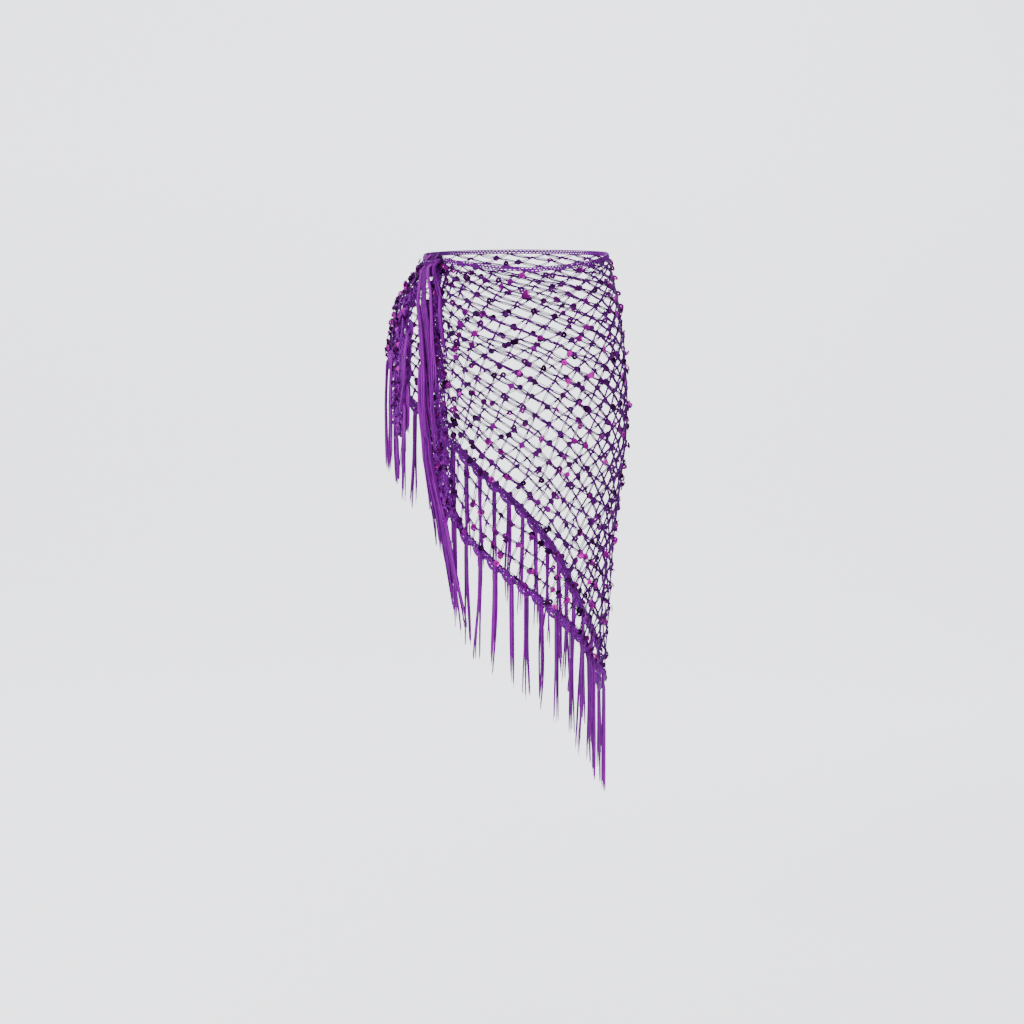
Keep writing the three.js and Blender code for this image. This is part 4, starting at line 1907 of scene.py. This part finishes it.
@dataclass
class Studio:
    """Camera, lights and the pale backdrop, in metres."""

    distance: float = 3.5
    tilt_degrees: float = 8.5
    aim: tuple[float, float, float] = (-0.0058, 0.0, -0.3625)
    metres_per_pixel: float = 0.00145
    frame_pixels: int = 1024
    farthest: float = 30.0
    lamps: tuple[Lamp, ...] = (
        Lamp("key", (-2.5, -1.9, 1.4), 1.6, 120),
        Lamp("fill", (1.2, -2.8, 0.6), 2.2, 10),
        Lamp("back", (0.6, 2.0, 1.8), 1.6, 35),
    )
    air: tuple[float, float, float, float] = (0.95, 0.96, 1.0, 1)
    paper: PaperFinish = PaperFinish()
    floor_level: float = -1.03
    floor_front: float = -6.0
    floor_back: float = 1.6
    half_width: float = 7.0
    wall_height: float = 6.0
    sweep: float = 1.2
    sweep_steps: int = 12

    def face(self, thing: bpy.types.Object, place: Vector) -> None:
        """Puts a lamp or camera in its place and turns it to the shawl.

        Args:
            thing: The lamp or camera.
            place: Where it stands, in metres.
        """
        thing.location = place
        look = Vector(self.aim) - thing.location
        thing.rotation_euler = look.to_track_quat("-Z", "Y").to_euler()

    def camera(self) -> None:
        """Adds the camera at the view's height and distance."""
        data = bpy.data.cameras.new("view")
        camera = add_object("view", data)
        tilt = math.radians(self.tilt_degrees)
        back = Vector((0, -math.cos(tilt), math.sin(tilt))) * self.distance
        self.face(camera, Vector(self.aim) + back)
        data.sensor_fit = "HORIZONTAL"
        width = self.metres_per_pixel * self.frame_pixels
        data.angle = 2 * math.atan(width / 2 / self.distance)
        data.clip_end = self.farthest
        bpy.context.scene.camera = camera

    def light(self, lamp: Lamp) -> None:
        """Adds a light that faces the shawl.

        Args:
            lamp: The light.
        """
        data = bpy.data.lights.new(lamp.name, "AREA")
        data.size = lamp.size
        data.energy = lamp.power
        self.face(add_object(lamp.name, data), Vector(lamp.place))

    def world(self) -> None:
        """Fills the studio with even pale light."""
        world = bpy.data.worlds.new("studio")
        bpy.context.scene.world = world
        world.use_nodes = True
        background = world.node_tree.nodes["Background"]
        background.inputs["Color"].default_value = self.air
        background.inputs["Strength"].default_value = 1.0

    def backdrop(self) -> None:
        """Adds one sheet that is floor, sweep and wall."""
        profile = [(self.floor_front, 0.0), (self.floor_back, 0.0)]
        for number in range(1, self.sweep_steps + 1):
            turn = math.pi / 2 * number / self.sweep_steps
            rise = self.sweep * (1 - math.cos(turn))
            profile.append((self.floor_back + self.sweep * math.sin(turn), rise))
        profile.append((self.floor_back + self.sweep, self.wall_height))
        vertices, faces = [], []
        for x in (-self.half_width, self.half_width):
            vertices += [(x, y, self.floor_level + z) for y, z in profile]
        count = len(profile)
        for number in range(count - 1):
            faces.append((number, number + count, number + count + 1, number + 1))
        data = bpy.data.meshes.new("backdrop")
        data.from_pydata(vertices, [], faces)
        data.shade_smooth()
        data.materials.append(self.paper.build())
        sheet = add_object("backdrop", data)

    def build(self) -> None:
        """Sets up the whole studio."""
        self.camera()
        for lamp in self.lamps:
            self.light(lamp)
        self.world()
        self.backdrop()


@dataclass
class Shawl:
    """The whole shawl: nets, band, knot, gathered ends, edgings and tassels."""

    # Painted shade: the open net is the same crochet as the gathered ends, which wear the cord
    # yarn, but is coloured darker, as thin threads look against the light. The knot's turns wear it
    # too.
    net_finish_painted_shade: YarnFinish = YarnFinish(
        "net_yarn_painted_shade",
        deep=(0.009, 0.0, 0.018),
        base=(0.05, 0.001, 0.085),
        bright=(0.12, 0.003, 0.19),
        roughness=0.6,
        specular=0.15,
    )
    cord_finish: YarnFinish = YarnFinish(
        "cord_yarn",
        deep=(0.02, 0.0, 0.04),
        base=(0.11, 0.002, 0.18),
        bright=(0.26, 0.006, 0.38),
        roughness=0.55,
        specular=0.2,
    )
    fringe_finish: YarnFinish = YarnFinish(
        "fringe_yarn",
        deep=(0.012, 0.0, 0.027),
        base=(0.09, 0.0, 0.142),
        bright=(0.23, 0.001, 0.3),
        roughness=0.42,
        specular=0.2,
        variety=0.5,
    )
    foil_finish: SequinFinish = SequinFinish("sequin_foil")

    def __post_init__(self) -> None:
        """Makes the finishes, and starts with no pieces."""
        self.net_yarn_painted_shade = self.net_finish_painted_shade.build()
        self.cord_yarn = self.cord_finish.build()
        self.fringe_yarn = self.fringe_finish.build()
        self.foil = self.foil_finish.build()
        self.knot = Knot()
        self.pieces: list[bpy.types.Object] = []

    def take(self, piece: bpy.types.Object, slot: Slot, *nodes: str) -> bpy.types.Object:
        """Makes a piece ride with the shawl.

        Args:
            piece: The piece.
            slot: Its material slot; not used.
            nodes: The solids that it stands for, which it hides.

        Returns:
            The piece.
        """
        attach(piece, BODY)
        if nodes:
            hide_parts(*nodes)
        self.pieces.append(piece)
        return piece

    def add_band(self) -> bpy.types.Object:
        """Builds the waist band and returns it."""
        return self.take(WaistBand().build(self.cord_yarn), Slot.CORD, "waist_band")

    def add_knot(self) -> bpy.types.Object:
        """Builds the knot and its sequins.

        Returns:
            The knot's turns.
        """
        turns = self.take(self.knot.build(self.net_yarn_painted_shade), Slot.NET, "knot")
        self.take(self.knot.sequins(self.foil), Slot.SEQUIN)
        return turns

    def add_net(self, half: HalfCut) -> None:
        """Args:
            half: The half.
        """
        net = Net(half)
        cloth = self.take(net.build(self.net_yarn_painted_shade), Slot.NET, f"net_{half.name}")
        sequins = self.take(net.sequins(self.foil), Slot.SEQUIN)
        hem = hem_edge(half, HEM_END)
        trim = Edging(
            hem_edge(half, LAST_ROW),
            f"hem_{half.name}_edging",
            scallop=hem.length() / half.hem_tassels,
            joins=hem_edge(BACK, LAST_ROW) if half.leads else None,
        )
        edging = self.take(trim.build(self.cord_yarn), Slot.CORD)
        tassels = Tassels(
            hem,
            f"hem_{half.name}_tassels",
            count=half.hem_tassels,
            strands=10,
            seed=half.seed + 1,
        )
        fringe = self.take(tassels.build(self.fringe_yarn), Slot.FRINGE, f"fringe_{half.name}")

    def end_tassels(self, end: GatheredEnd, outer: Edge) -> Tassels:
        """The tassels of one gathered end: long over the front one, short at the back.

        Args:
            end: The gathered end.
            outer: Its outer edge.

        Returns:
            The tassels.
        """
        seed = end.half.seed + 5
        if end.half.leads:
            return Tassels(
                outer,
                "tail_front_tassels",
                count=13,
                strands=11,
                seed=seed,
                lengths=(168, 176),
                follows=1.0,
                lane_out=(7.0, 13.0),
                lane_along=(-4.0, 6.0),
                settle=0.3,
                guide=end,
            )
        return Tassels(
            outer,
            "tail_back_tassels",
            count=7,
            strands=10,
            seed=seed,
            lengths=(72, 74),
            lane_out=(4.0, 9.0),
            lane_along=(0.0, 9.0),
        )

    def knot_tassels(self, end: GatheredEnd) -> Tassels:
        """The strands that come out of the knot and lie over the front end.

        Args:
            end: The front end.

        Returns:
            The strands, as tassels.
        """
        return Tassels(
            self.knot.front_line(),
            "knot_tassels",
            count=5,
            strands=10,
            seed=end.half.seed + 9,
            lengths=(273, 141),
            follows=1.0,
            lane_out=(6.0, 11.5),
            lane_along=(12.0, 20.0),
            settle=0.42,
            width=5.0,
            split=2.4,
            ordered=True,
            guide=end,
        )

    def add_end(self, half: HalfCut) -> None:
        """Args:
            half: The half.
        """
        end = GatheredEnd(half)
        gathered = self.take(end.build(self.cord_yarn), Slot.CORD, f"tail_{half.name}")
        spangles = self.take(end.sequins(self.foil), Slot.SEQUIN)
        outer = end.outer_edge()
        edging = Edging(outer, f"tail_{half.name}_edging")
        trim = self.take(edging.build(self.cord_yarn), Slot.CORD)
        if half.leads:
            bunch = self.knot_tassels(end).build(self.fringe_yarn)
            self.take(bunch, Slot.FRINGE)
        locks = self.end_tassels(end, outer).build(self.fringe_yarn)
        hanging = self.take(locks, Slot.FRINGE, f"fringe_tail_{half.name}")


def main() -> None:
    """Builds the studio and the shawl's parts in order."""
    logging.basicConfig(level=logging.INFO, format="%(name)s: %(message)s")
    Studio().build()
    shawl = Shawl()
    band = shawl.add_band()
    turns = shawl.add_knot()
    for half in (FRONT, BACK):
        shawl.add_net(half)
        shawl.add_end(half)
    for piece in shawl.pieces:
        triangles = sum(face.loop_total - 2 for face in piece.data.polygons)
        log.info("%s: %d triangles", piece.name, triangles)


if __name__ == "__main__":
    main()
